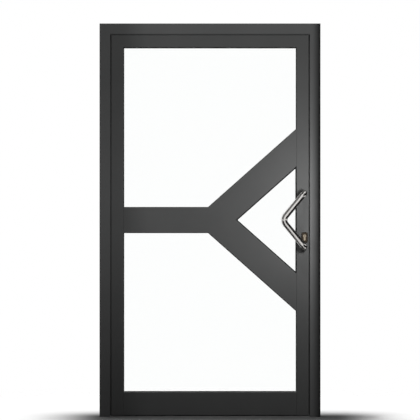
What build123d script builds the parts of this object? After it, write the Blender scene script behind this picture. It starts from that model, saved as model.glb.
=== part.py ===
from build123d import *

import math
import os

# Front door in its frame: thermally broken aluminium bars, a K-shaped grid and three glass fields.
# Sizes are in millimetres. X runs along the wall, Y from outside to inside, Z up from the floor.
# The origin is on the floor, at the middle of the frame's width and depth.

# Whole door
WIDTH = 1180.0
HEIGHT = 2100.0
DEPTH = 70.0

# Faces that show from outside
FRAME_FACE = 57.0
JOINT_GAP = 6.0
LEAF_FACE = 65.0
RAIL_FACE = 124.0
TRANSOM_FACE = 135.0
BRACE_FACE = 149.0
BRACE_SLOPE = 41.6
BRACE_ROOT = 27.0
FLOOR_GAP = 7.0

# Bar sections
WALL = 2.0
EDGE_ROUND = 2.0
SIGHT_ROUND = 3.0
LEAF_STEP = 13.0
LIP_DEPTH = 16.0
STOP_SPACE = 5.0
STEP_WALL = 3.0
CORE_GAP = 6.0
FLANGE_COVER = 8.0
FLANGE_DEPTH = 16.0
INNER_STOP_SPACE = 4.0
RECESS_WALL = 4.0
INNER_GAP = 6.0
THERMAL_BAR = 2.0
THERMAL_INSET = 1.0

# Glazing
REBATE = 19.0
GLASS_STOP = 14.0
SEAL = 4.0
PANE = 6.0
CAVITY = 16.0
GLASS_CLEARANCE = 7.0
SPACER_SETBACK = 3.0
SPACER_WIDTH = 7.0
SEAL_LIP = 2.5
SEAL_LIP_EDGE = 1.2
SEAL_COVER = 9.0
BEAD_WALL = 1.5
BEAD_ROUND = 3.0
BLOCK_LENGTH = 100.0
BLOCK_FROM_CORNER = 70.0

# Stop seals, brush and threshold
STOP_SEAL_MARGIN = 1.0
STOP_SEAL_BEVEL = 1.5
SEAL_PLAY = 0.3
THRESHOLD = 3.0
THRESHOLD_BEVEL = 2.0
GROOVE = 3.0
GROOVE_DEPTH = 1.0
GROOVE_PITCH = 10.0
GROOVE_COUNT = 5
RAIL_CHANNEL = 6.0
BRUSH_CARRIER = 10.0
BRISTLE = 4.0

# Corner cleats and bar connectors
CLEAT_LEG = 80.0
CLEAT_FIT = 0.2
CONNECTOR_LENGTH = 60.0

# Wall fixings
FIXING_RADIUS = 5.25
FIXING_END = 195.0
FIXING_STEPS = 3

# Hinges
HINGE_END = 250.0
HINGE_TALL = 110.0
HINGE_WING = 5.0
FRAME_WING = 26.0
LEAF_WING = 40.0
WING_ROUND = 4.0
NECK = 12.0
PIN_RADIUS = 5.0
PIN_FIT = 0.02
RUN_FIT = 0.05
BUSH_WALL = 1.5
KNUCKLE_WALL = 4.5
KNUCKLE_GAP = 0.5
KNUCKLES = 3
PIN_HEAD = 3.0
PIN_HEAD_RADIUS = 8.0
PIN_HEAD_BEVEL = 1.0

# Lock
SPINDLE_HEIGHT = 1050.0
CYLINDER_DROP = 85.0
FACEPLATE = 3.0
FACEPLATE_FIT = 0.2
FACEPLATE_PAST_CASE = 15.0
CASE_THICK = 16.0
CASE_WALL = 1.5
CASE_PLAY = 1.0
CASE_ABOVE = 60.0
CASE_BELOW = 60.0
SLIDE_PLAY = 0.3
KNOB_TURN = 45.0
LATCH_THROW = 11.0
LATCH_TALL = 30.0
LATCH_THICK = 13.0
LATCH_TIP = 4.0
HOOK = 3.0
HOOK_PLAY = 0.5
TAIL_TALL = 8.0
TAIL_THICK = 6.0
HUB_RADIUS = 10.0
HUB_BOSS_RADIUS = 8.0
ARM = 6.0
SPINDLE = 8.0
SPINDLE_FIT = 0.05
SPINDLE_IN_KNOB = 38.0
SPINDLE_HOLE_RADIUS = 9.0
BOLT_THROW = 20.0
BOLT_TALL = 22.0
BOLT_THICK = 13.0
BOLT_LENGTH = 42.0
BOLT_SETBACK = 0.5
STRIKE = 3.0
STRIKE_MARGIN = 18.0
STRIKE_PLAY = 1.0

# Profile cylinder, its plates and thumb turn
CYLINDER_RADIUS = 8.5
CYLINDER_WEB = 10.0
CYLINDER_TALL = 33.0
CYLINDER_PROUD = 9.0
CYLINDER_FIT = 0.3
PLUG_RADIUS = 6.5
KEYWAY = 2.4
KEYWAY_TALL = 8.5
KEYWAY_DEEP = 24.0
CAM_RADIUS = 14.5
CAM_NOSE = 6.0
CAM_THICK = 9.6
CAM_PLAY = 0.2
BRIDGE_GAP = 0.5
SCREW_RADIUS = 2.5
SCREW_HEAD_RADIUS = 4.5
SCREW_HEAD = 1.6
SCREW_FIT = 0.1
PLATE_WIDE = 34.0
PLATE_TALL = 56.0
PLATE_CORNER = 9.0
PLATE_THICK = 7.0
PLATE_ROUND = 2.5
TURN_COLLAR = 5.0
TURN_COLLAR_RADIUS = 9.0
TURN_WIDE = 11.0
TURN_TALL = 30.0
TURN_OUT = 18.0
TURN_ROUND = 2.0

# Pull handle outside
HANDLE_FROM_EDGE = 37.0
HANDLE_SPACING = 287.0
HANDLE_REACH = 118.0
HANDLE_OUT = 58.0
TUBE_RADIUS = 16.0
TUBE_WALL = 2.0
ELBOW_RADIUS = 22.0
APEX_RADIUS = 36.0
TUBE_PLUG = 10.0
STUD_RADIUS = 4.0
STUD_FIT = 0.1
STUD_COLLAR = 8.0
STUD_COLLAR_RADIUS = 8.0

# Knob inside
KNOB_RADIUS = 26.0
KNOB_OUT = 62.0
KNOB_NECK = 24.0
KNOB_NECK_RADIUS = 10.0
KNOB_FLARE = 16.0
KNOB_ROUND = 4.0
KNOB_DISH = 2.0
KNOB_GAP = 0.5
FLUTES = 8
FLUTE_RADIUS = 9.0
FLUTE_DEPTH = 1.6
ROSE_RADIUS = 26.0
ROSE_THICK = 8.0
ROSE_BEVEL = 2.0

# How far a cutting shape runs past what it cuts
OVERRUN = 5.0

# Lines across a bar, counted outwards from the edge of the glass field that the bar borders
LIP_LINE = LEAF_FACE + JOINT_GAP
LEAF_EDGE = LEAF_FACE + LEAF_STEP
CORE_LINE = LEAF_EDGE + CORE_GAP
FLANGE_LINE = CORE_LINE + FLANGE_COVER
INNER_LINE = FLANGE_LINE + INNER_GAP
WALL_LINE = LIP_LINE + FRAME_FACE

# Depths, counted inwards from the outside face
STEP_DEPTH = LIP_DEPTH + STOP_SPACE
OUTER_SHELL = STEP_DEPTH + STEP_WALL
FLANGE_BACK = DEPTH - FLANGE_DEPTH
RECESS_FLOOR = FLANGE_BACK - INNER_STOP_SPACE
INNER_SHELL = RECESS_FLOOR - RECESS_WALL
GLASS_NEAR = GLASS_STOP + SEAL
CAVITY_NEAR = GLASS_NEAR + PANE
CAVITY_FAR = CAVITY_NEAR + CAVITY
GLASS_FAR = CAVITY_FAR + PANE
BEAD_NEAR = GLASS_FAR + SEAL
LOCK_DEPTH = (OUTER_SHELL + INNER_SHELL) / 2

# Glass opening of the leaf and the K of the grid
OPEN_X = WIDTH / 2 - WALL_LINE
OPEN_TOP = HEIGHT - WALL_LINE
OPEN_BOTTOM = FLOOR_GAP + RAIL_FACE
MIDDLE = HEIGHT / 2
SLOPE = math.tan(math.radians(BRACE_SLOPE))
BRACE_HALF = BRACE_FACE / 2 / math.cos(math.radians(BRACE_SLOPE))
BRACE_END = (OPEN_X - BRACE_ROOT) * SLOPE
FORK_X = BRACE_ROOT + (TRANSOM_FACE / 2 - BRACE_HALF) / SLOPE
APEX_X = BRACE_ROOT + BRACE_HALF / SLOPE

# Lock axis: the latch's hook needs its throw between the lock arm and the back of the case
HOOK_REACH = ARM / 2 + HOOK_PLAY + HOOK
CASE_BEHIND = HOOK_REACH + LATCH_THROW + CASE_PLAY + CASE_WALL
CASE_LINE = REBATE + THERMAL_INSET + THERMAL_BAR + CASE_PLAY
LOCK_LINE = CASE_LINE + CASE_BEHIND
LOCK_X = OPEN_X + LOCK_LINE
EDGE_X = OPEN_X + LEAF_EDGE
PLATE_X = EDGE_X - FACEPLATE
CYLINDER_HEIGHT = SPINDLE_HEIGHT - CYLINDER_DROP
CASE_TOP = SPINDLE_HEIGHT + CASE_ABOVE
CASE_BOTTOM = CYLINDER_HEIGHT - CASE_BELOW
ARM_REACH = LATCH_THROW / math.sin(math.radians(KNOB_TURN))
LATCH_BOTTOM = SPINDLE_HEIGHT + HUB_RADIUS + HOOK_PLAY
BOLT_MIDDLE = (SPINDLE_HEIGHT - HUB_RADIUS + CYLINDER_HEIGHT + CAM_RADIUS) / 2
BOLT_BOTTOM = BOLT_MIDDLE - BOLT_TALL / 2
SCREW_HEIGHT = CYLINDER_HEIGHT - (CAM_RADIUS + BRIDGE_GAP + CYLINDER_TALL - CYLINDER_RADIUS) / 2

# Hinge axis: in the joint between leaf and frame, in front of the inside faces
BUSH_RADIUS = PIN_RADIUS + RUN_FIT + BUSH_WALL
KNUCKLE_RADIUS = BUSH_RADIUS + KNUCKLE_WALL
HINGE_X = -(OPEN_X + (FLANGE_LINE + INNER_LINE) / 2)
HINGE_DEPTH = DEPTH + HINGE_WING + KNUCKLE_RADIUS

LEFT = Plane.YZ
INWARDS = Vector(0, 1, 0)


def deep(depth):
    """Y of a depth that is counted inwards from the outside face."""
    return depth - DEPTH / 2


def spot(x, z):
    """A point of an outline in the plane of the door."""
    return Vector(x, 0, z)


def outward(along):
    """The way out of an outline whose corners run anticlockwise, seen from outside."""
    return Vector(along.Z, 0, -along.X)


def grown(corners, distance):
    """An outline with every side moved outwards by a distance, its corners kept sharp."""
    moved = []
    for i, corner in enumerate(corners):
        before = outward((corner - corners[i - 1]).normalized())
        after = outward((corners[(i + 1) % len(corners)] - corner).normalized())
        moved.append(corner + (before + after) * (distance / (1 + before.dot(after))))
    return moved


def sides(corners):
    """The two ends of each side of an outline."""
    return list(zip(corners, corners[1:] + corners[:1]))


def slab(corners, near, far):
    """A flat piece with an outline in the plane of the door, from one depth to another."""
    level = Vector(0, deep(near), 0)
    face = make_face(Polyline(*[corner + level for corner in corners], close=True))
    return extrude(face, amount=far - near, dir=INWARDS)


def block(low_x, high_x, near, far, low_z, high_z):
    """A straight block between two X values, two depths and two heights."""
    return slab(
        [spot(low_x, low_z), spot(high_x, low_z), spot(high_x, high_z), spot(low_x, high_z)], near, far
    )


def profile(*points):
    """A closed cross-section: first the distance outwards, then the depth."""
    return make_face(Polyline(*points, close=True))


def oblong(low, high, near, far):
    """A rectangular cross-section."""
    return profile((low, near), (high, near), (high, far), (low, far))


def rounded(face, corner, radius):
    """A cross-section with one corner rounded."""
    nearest = face.vertices().sort_by_distance(corner)[0]
    return fillet(nearest, radius)


def bar(section, start, end, plan):
    """A bar run along one side of an outline, with its ends cut to a plan."""
    along = (end - start).normalized()
    travel = [(corner - start).dot(along) for corner in plan]
    first = start + along * min(travel) + Vector(0, deep(0), 0)
    plane = Plane(origin=first, x_dir=outward(along), z_dir=along)
    return extrude(plane * section, amount=max(travel) - min(travel)) & slab(plan, -OVERRUN, DEPTH + OVERRUN)


def mitred_ring(section, corners, low, high):
    """Bars round an outline, mitred at its corners."""
    inner = grown(corners, low - OVERRUN)
    outer = grown(corners, high + OVERRUN)
    cuts = zip(sides(corners), sides(inner), sides(outer))
    return [bar(section, *side, [near[0], near[1], far[1], far[0]]) for side, near, far in cuts]


def right_post(section, foot):
    """An upright on the lock side, square at its foot and mitred at its head."""
    low = -OVERRUN
    high = WALL_LINE + OVERRUN
    plan = [
        spot(OPEN_X + low, foot),
        spot(OPEN_X + high, foot),
        spot(OPEN_X + high, OPEN_TOP + high),
        spot(OPEN_X + low, OPEN_TOP + low),
    ]
    return bar(section, spot(OPEN_X, foot), spot(OPEN_X, OPEN_TOP), plan)


def left_post(section, foot):
    """The same upright on the hinge side."""
    return mirror(right_post(section, foot), about=LEFT)


def top_beam(section):
    """A beam across the top, mitred at both ends."""
    low = -OVERRUN
    high = WALL_LINE + OVERRUN
    plan = [
        spot(OPEN_X + low, OPEN_TOP + low),
        spot(OPEN_X + high, OPEN_TOP + high),
        spot(-OPEN_X - high, OPEN_TOP + high),
        spot(-OPEN_X - low, OPEN_TOP + low),
    ]
    return bar(section, spot(OPEN_X, OPEN_TOP), spot(-OPEN_X, OPEN_TOP), plan)


def thermal_bar(low):
    """One polyamide bar between the outer and the inner shell."""
    return oblong(low, low + THERMAL_BAR, OUTER_SHELL, INNER_SHELL)


# Cross-sections of the extruded bars
def frame_sections():
    """Outer shell, inner shell and thermal bars of the frame: a lip outside and a recess inside."""
    outer = profile(
        (LIP_LINE, 0),
        (WALL_LINE, 0),
        (WALL_LINE, OUTER_SHELL),
        (CORE_LINE, OUTER_SHELL),
        (CORE_LINE, LIP_DEPTH),
        (LIP_LINE, LIP_DEPTH),
    )
    outer = rounded(outer, (LIP_LINE, 0), EDGE_ROUND)
    outer = rounded(outer, (WALL_LINE, 0), EDGE_ROUND)
    outer -= profile(
        (LIP_LINE + WALL, WALL),
        (WALL_LINE - WALL, WALL),
        (WALL_LINE - WALL, OUTER_SHELL - WALL),
        (CORE_LINE + WALL, OUTER_SHELL - WALL),
        (CORE_LINE + WALL, LIP_DEPTH - WALL),
        (LIP_LINE + WALL, LIP_DEPTH - WALL),
    )
    inner = profile(
        (CORE_LINE, INNER_SHELL),
        (WALL_LINE, INNER_SHELL),
        (WALL_LINE, DEPTH),
        (INNER_LINE, DEPTH),
        (INNER_LINE, RECESS_FLOOR),
        (CORE_LINE, RECESS_FLOOR),
    )
    inner = rounded(inner, (INNER_LINE, DEPTH), EDGE_ROUND)
    inner = rounded(inner, (WALL_LINE, DEPTH), EDGE_ROUND)
    inner -= oblong(INNER_LINE + WALL, WALL_LINE - WALL, INNER_SHELL + WALL, DEPTH - WALL)
    bars = [
        thermal_bar(CORE_LINE + THERMAL_INSET),
        thermal_bar(WALL_LINE - THERMAL_INSET - THERMAL_BAR),
    ]
    return outer, inner, bars


def leaf_sections():
    """Outer shell, inner shell and thermal bars of a leaf edge: a glass stop, a step and an inner flange."""
    outer = profile(
        (0, 0),
        (LEAF_FACE, 0),
        (LEAF_FACE, STEP_DEPTH),
        (LEAF_EDGE, STEP_DEPTH),
        (LEAF_EDGE, OUTER_SHELL),
        (REBATE, OUTER_SHELL),
        (REBATE, GLASS_STOP),
        (0, GLASS_STOP),
    )
    outer = rounded(outer, (0, 0), SIGHT_ROUND)
    outer = rounded(outer, (LEAF_FACE, 0), EDGE_ROUND)
    outer -= profile(
        (WALL, WALL),
        (LEAF_FACE - WALL, WALL),
        (LEAF_FACE - WALL, OUTER_SHELL - WALL),
        (REBATE + WALL, OUTER_SHELL - WALL),
        (REBATE + WALL, GLASS_STOP - WALL),
        (WALL, GLASS_STOP - WALL),
    )
    inner = profile(
        (REBATE, INNER_SHELL),
        (LEAF_EDGE, INNER_SHELL),
        (LEAF_EDGE, FLANGE_BACK),
        (FLANGE_LINE, FLANGE_BACK),
        (FLANGE_LINE, DEPTH),
        (REBATE, DEPTH),
    )
    inner = rounded(inner, (FLANGE_LINE, DEPTH), EDGE_ROUND)
    inner -= profile(
        (REBATE + WALL, INNER_SHELL + WALL),
        (LEAF_EDGE - WALL, INNER_SHELL + WALL),
        (LEAF_EDGE - WALL, FLANGE_BACK + WALL),
        (FLANGE_LINE - WALL, FLANGE_BACK + WALL),
        (FLANGE_LINE - WALL, DEPTH - WALL),
        (REBATE + WALL, DEPTH - WALL),
    )
    bars = [
        thermal_bar(REBATE + THERMAL_INSET),
        thermal_bar(LEAF_EDGE - THERMAL_INSET - THERMAL_BAR),
    ]
    return outer, inner, bars


def rail_sections():
    """Outer shell, inner shell and thermal bars of the bottom rail, with a channel for the brush."""
    outer = profile(
        (0, 0),
        (RAIL_FACE, 0),
        (RAIL_FACE, OUTER_SHELL),
        (REBATE, OUTER_SHELL),
        (REBATE, GLASS_STOP),
        (0, GLASS_STOP),
    )
    outer = rounded(outer, (0, 0), SIGHT_ROUND)
    outer = rounded(outer, (RAIL_FACE, 0), EDGE_ROUND)
    outer -= profile(
        (WALL, WALL),
        (RAIL_FACE - WALL, WALL),
        (RAIL_FACE - WALL, OUTER_SHELL - WALL),
        (REBATE + WALL, OUTER_SHELL - WALL),
        (REBATE + WALL, GLASS_STOP - WALL),
        (WALL, GLASS_STOP - WALL),
    )
    inner = oblong(REBATE, RAIL_FACE, INNER_SHELL, DEPTH)
    inner = rounded(inner, (RAIL_FACE, DEPTH), EDGE_ROUND)
    inner -= oblong(REBATE + WALL, RAIL_FACE - WALL, INNER_SHELL + WALL, DEPTH - WALL)
    bars = [
        thermal_bar(REBATE + THERMAL_INSET),
        thermal_bar(RAIL_FACE - RAIL_CHANNEL - THERMAL_BAR),
    ]
    return outer, inner, bars


def grid_sections(face):
    """Outer shell, inner shell and thermal bars of a grid bar, with a glass stop along both edges."""
    outer = profile(
        (0, 0),
        (face, 0),
        (face, GLASS_STOP),
        (face - REBATE, GLASS_STOP),
        (face - REBATE, OUTER_SHELL),
        (REBATE, OUTER_SHELL),
        (REBATE, GLASS_STOP),
        (0, GLASS_STOP),
    )
    outer = rounded(outer, (0, 0), SIGHT_ROUND)
    outer = rounded(outer, (face, 0), SIGHT_ROUND)
    outer -= profile(
        (WALL, WALL),
        (face - WALL, WALL),
        (face - WALL, GLASS_STOP - WALL),
        (face - REBATE - WALL, GLASS_STOP - WALL),
        (face - REBATE - WALL, OUTER_SHELL - WALL),
        (REBATE + WALL, OUTER_SHELL - WALL),
        (REBATE + WALL, GLASS_STOP - WALL),
        (WALL, GLASS_STOP - WALL),
    )
    inner = oblong(REBATE, face - REBATE, INNER_SHELL, DEPTH)
    inner -= oblong(REBATE + WALL, face - REBATE - WALL, INNER_SHELL + WALL, DEPTH - WALL)
    bars = [
        thermal_bar(REBATE + THERMAL_INSET),
        thermal_bar(face - REBATE - THERMAL_INSET - THERMAL_BAR),
    ]
    return outer, inner, bars


# Outlines of the three glass fields, anticlockwise seen from outside
def upper_field():
    """The field above the transom and the upper brace."""
    return [
        spot(-OPEN_X, MIDDLE + TRANSOM_FACE / 2),
        spot(FORK_X, MIDDLE + TRANSOM_FACE / 2),
        spot(OPEN_X, MIDDLE + BRACE_END + BRACE_HALF),
        spot(OPEN_X, OPEN_TOP),
        spot(-OPEN_X, OPEN_TOP),
    ]


def lower_field():
    """The field below the transom and the lower brace."""
    return [
        spot(-OPEN_X, OPEN_BOTTOM),
        spot(OPEN_X, OPEN_BOTTOM),
        spot(OPEN_X, MIDDLE - BRACE_END - BRACE_HALF),
        spot(FORK_X, MIDDLE - TRANSOM_FACE / 2),
        spot(-OPEN_X, MIDDLE - TRANSOM_FACE / 2),
    ]


def side_field():
    """The triangle between the two braces and the lock stile."""
    return [
        spot(APEX_X, MIDDLE),
        spot(OPEN_X, MIDDLE - BRACE_END + BRACE_HALF),
        spot(OPEN_X, MIDDLE + BRACE_END - BRACE_HALF),
    ]


def stile_shape():
    """The space that the stiles take up, used to cope the ends of what butts against them."""
    section = profile(
        (0, -OVERRUN),
        (LEAF_EDGE, -OVERRUN),
        (LEAF_EDGE, DEPTH + OVERRUN),
        (REBATE, DEPTH + OVERRUN),
        (REBATE, GLASS_STOP),
        (0, GLASS_STOP),
    )
    plane = Plane(origin=(OPEN_X, deep(0), 0), x_dir=(1, 0, 0), z_dir=(0, 0, 1))
    right = extrude(plane * section, amount=OPEN_TOP)
    return right + mirror(right, about=LEFT)


def across_middle(shape):
    """The same shape turned over about the middle height."""
    return mirror(shape, about=Plane(origin=(0, 0, MIDDLE), z_dir=(0, 0, 1)))


def solids_of(shapes):
    """Every solid of a list of shapes."""
    return [solid for shape in shapes for solid in shape.solids()]


# Frame
def fixing_heights():
    """Heights of the wall fixings, evenly spaced along a jamb."""
    pitch = (HEIGHT - FIXING_END * 2) / FIXING_STEPS
    return [FIXING_END + pitch * i for i in range(FIXING_STEPS + 1)]


def across_hole(radius, low_x, high_x, depth, height):
    """A round hole or rod along X."""
    plane = Plane(origin=(low_x, deep(depth), height), x_dir=(0, 1, 0), z_dir=(1, 0, 0))
    return extrude(plane * Circle(radius), amount=high_x - low_x)


def fixing_holes():
    """Holes through the inner shell of the right jamb for the screws that hold the frame in the wall."""
    low = OPEN_X + INNER_LINE - OVERRUN
    high = OPEN_X + WALL_LINE + OVERRUN
    depth = (RECESS_FLOOR + DEPTH) / 2
    return [across_hole(FIXING_RADIUS, low, high, depth, height) for height in fixing_heights()]


def strike_span():
    """Lowest and highest edge of the strike plate."""
    return BOLT_BOTTOM - STRIKE_MARGIN, LATCH_BOTTOM + LATCH_TALL + STRIKE_MARGIN


def frame_parts():
    """Jambs, head, their thermal bars and corner cleats."""
    outer, inner, bars = frame_sections()
    jamb = right_post(inner, 0)
    for hole in fixing_holes():
        jamb -= hole
    low, high = strike_span()
    rebate_bar, wall_bar = [right_post(section, 0) for section in bars]
    gap = block(
        OPEN_X + CORE_LINE,
        OPEN_X + CORE_LINE + THERMAL_INSET + THERMAL_BAR + OVERRUN,
        OUTER_SHELL - OVERRUN,
        INNER_SHELL + OVERRUN,
        low - FACEPLATE_FIT,
        high + FACEPLATE_FIT,
    )
    thermal = [rebate_bar - gap, wall_bar]
    thermal += [left_post(section, 0) for section in bars] + [top_beam(section) for section in bars]
    cleats = [
        corner_cleat(CORE_LINE + WALL, WALL_LINE - WALL, WALL, OUTER_SHELL - WALL),
        corner_cleat(INNER_LINE + WALL, WALL_LINE - WALL, INNER_SHELL + WALL, DEPTH - WALL),
    ]
    cleats += [mirror(cleat, about=LEFT) for cleat in cleats]
    return {
        "left_jamb": [left_post(outer, 0), mirror(jamb, about=LEFT)],
        "right_jamb": [right_post(outer, 0), jamb],
        "head": [top_beam(outer), top_beam(inner)],
        "frame_thermal_bars": thermal,
        "frame_corner_cleats": cleats,
    }


def corner_cleat(low, high, near, far):
    """An angle that slides into the chambers of two mitred bars at the right-hand top corner."""
    low += CLEAT_FIT
    high -= CLEAT_FIT
    foot = OPEN_TOP + low - CLEAT_LEG
    tip = OPEN_X + low - CLEAT_LEG
    outline = [
        spot(OPEN_X + low, foot),
        spot(OPEN_X + high, foot),
        spot(OPEN_X + high, OPEN_TOP + high),
        spot(tip, OPEN_TOP + high),
        spot(tip, OPEN_TOP + low),
        spot(OPEN_X + low, OPEN_TOP + low),
    ]
    return slab(outline, near + CLEAT_FIT, far - CLEAT_FIT)


def threshold():
    """A low ridged sill between the jambs, coped round their section."""
    half = DEPTH / 2
    section = make_face(
        Polyline(
            (-half, 0),
            (half, 0),
            (half - THRESHOLD_BEVEL, THRESHOLD),
            (THRESHOLD_BEVEL - half, THRESHOLD),
            close=True,
        )
    )
    first = -GROOVE_PITCH * (GROOVE_COUNT - 1) / 2
    for i in range(GROOVE_COUNT):
        section -= Pos(first + GROOVE_PITCH * i, THRESHOLD) * Rectangle(GROOVE, GROOVE_DEPTH * 2)
    plane = Plane(origin=(-WIDTH / 2, 0, 0), x_dir=(0, 1, 0), z_dir=(1, 0, 0))
    sill = extrude(plane * section, amount=WIDTH)
    jamb = profile(
        (LIP_LINE, -OVERRUN),
        (WALL_LINE + OVERRUN, -OVERRUN),
        (WALL_LINE + OVERRUN, DEPTH + OVERRUN),
        (INNER_LINE, DEPTH + OVERRUN),
        (INNER_LINE, RECESS_FLOOR),
        (CORE_LINE, RECESS_FLOOR),
        (CORE_LINE, LIP_DEPTH),
        (LIP_LINE, LIP_DEPTH),
    )
    standing = Plane(origin=(OPEN_X, deep(0), -OVERRUN), x_dir=(1, 0, 0), z_dir=(0, 0, 1))
    cut = extrude(standing * jamb, amount=THRESHOLD + OVERRUN * 2)
    return {"threshold": [sill - cut - mirror(cut, about=LEFT)]}


def bevelled(low, high, near, far):
    """A seal's cross-section with its two far corners bevelled."""
    bevel = math.copysign(STOP_SEAL_BEVEL, far - near)
    return profile(
        (low, near),
        (high, near),
        (high, far - bevel),
        (high - STOP_SEAL_BEVEL, far),
        (low + STOP_SEAL_BEVEL, far),
        (low, far - bevel),
    )


def stop_seals():
    """The frame's seal behind its lip and the leaf's seal behind its flange, on three sides each."""
    frame = bevelled(LIP_LINE + STOP_SEAL_MARGIN, LEAF_EDGE - STOP_SEAL_MARGIN, LIP_DEPTH, STEP_DEPTH - SEAL_PLAY)
    leaf = bevelled(CORE_LINE + STOP_SEAL_MARGIN, FLANGE_LINE - STOP_SEAL_MARGIN, FLANGE_BACK, RECESS_FLOOR + SEAL_PLAY)
    return {
        "frame_gasket": [right_post(frame, THRESHOLD) + top_beam(frame) + left_post(frame, THRESHOLD)],
        "leaf_gasket": [right_post(leaf, FLOOR_GAP) + top_beam(leaf) + left_post(leaf, FLOOR_GAP)],
    }


def strike_plate():
    """The plate in the right jamb that takes the latch and the deadbolt."""
    low, high = strike_span()
    near = OUTER_SHELL + FACEPLATE_FIT
    far = INNER_SHELL - FACEPLATE_FIT
    face = OPEN_X + CORE_LINE
    plate = block(face, face + STRIKE, near, far, low, high)
    for thick, bottom, tall in (
        (LATCH_THICK, LATCH_BOTTOM, LATCH_TALL),
        (BOLT_THICK, BOLT_BOTTOM, BOLT_TALL),
    ):
        plate -= block(
            face - OVERRUN,
            face + STRIKE + OVERRUN,
            LOCK_DEPTH - thick / 2 - STRIKE_PLAY,
            LOCK_DEPTH + thick / 2 + STRIKE_PLAY,
            bottom - STRIKE_PLAY,
            bottom + tall + STRIKE_PLAY,
        )
    return {"strike_plate": [plate]}


# Leaf
def euro_profile(gap):
    """The keyhole outline of a profile cylinder, with its plug axis at the origin and a gap all round."""
    foot = CYLINDER_TALL - CYLINDER_RADIUS - CYLINDER_WEB / 2
    web = Pos(0, -foot / 2) * Rectangle(CYLINDER_WEB + gap * 2, foot)
    return Circle(CYLINDER_RADIUS + gap) + web + Pos(0, -foot) * Circle(CYLINDER_WEB / 2 + gap)


def through(shape, x, z, near, far):
    """An outline at a place on the door, run from one depth to another."""
    plane = Plane(origin=(x, deep(far), z), x_dir=(1, 0, 0), z_dir=(0, -1, 0))
    return extrude(plane * shape, amount=far - near)


def handle_places():
    """The two ends of the pull handle on the lock stile."""
    x = EDGE_X - HANDLE_FROM_EDGE
    return [(x, SPINDLE_HEIGHT + HANDLE_SPACING / 2), (x, SPINDLE_HEIGHT - HANDLE_SPACING / 2)]


def leaf_frame_parts():
    """Stiles, top and bottom rail, thermal bars and cleats of the leaf."""
    outer, inner, bars = leaf_sections()
    keyhole = through(euro_profile(CYLINDER_FIT), LOCK_X, CYLINDER_HEIGHT, -OVERRUN, DEPTH + OVERRUN)
    spindle = through(Circle(SPINDLE_HOLE_RADIUS), LOCK_X, SPINDLE_HEIGHT, LOCK_DEPTH, DEPTH + OVERRUN)
    lock_outer = right_post(outer, FLOOR_GAP) - keyhole
    for x, z in handle_places():
        lock_outer -= through(Circle(STUD_RADIUS + STUD_FIT), x, z, -OVERRUN, WALL + OVERRUN)
    glass_bar, edge_bar = [right_post(section, FLOOR_GAP) for section in bars]
    slot = block(
        EDGE_X - THERMAL_INSET - THERMAL_BAR - OVERRUN,
        EDGE_X + OVERRUN,
        OUTER_SHELL - OVERRUN,
        INNER_SHELL + OVERRUN,
        CASE_BOTTOM - FACEPLATE_PAST_CASE - FACEPLATE_FIT,
        CASE_TOP + FACEPLATE_PAST_CASE + FACEPLATE_FIT,
    )
    thermal = [glass_bar, edge_bar - slot]
    thermal += [left_post(section, FLOOR_GAP) for section in bars] + [top_beam(section) for section in bars]
    cleats = [
        corner_cleat(REBATE + WALL, LEAF_FACE - WALL, WALL, OUTER_SHELL - WALL),
        corner_cleat(REBATE + WALL, LEAF_EDGE - WALL, INNER_SHELL + WALL, DEPTH - WALL),
    ]
    cleats += [mirror(cleat, about=LEFT) for cleat in cleats]
    parts = {
        "hinge_stile": [left_post(outer, FLOOR_GAP), left_post(inner, FLOOR_GAP)],
        "lock_stile": [lock_outer, right_post(inner, FLOOR_GAP) - keyhole - spindle],
        "top_rail": [top_beam(outer), top_beam(inner)],
        "leaf_corner_cleats": cleats,
    }
    return parts, thermal


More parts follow.
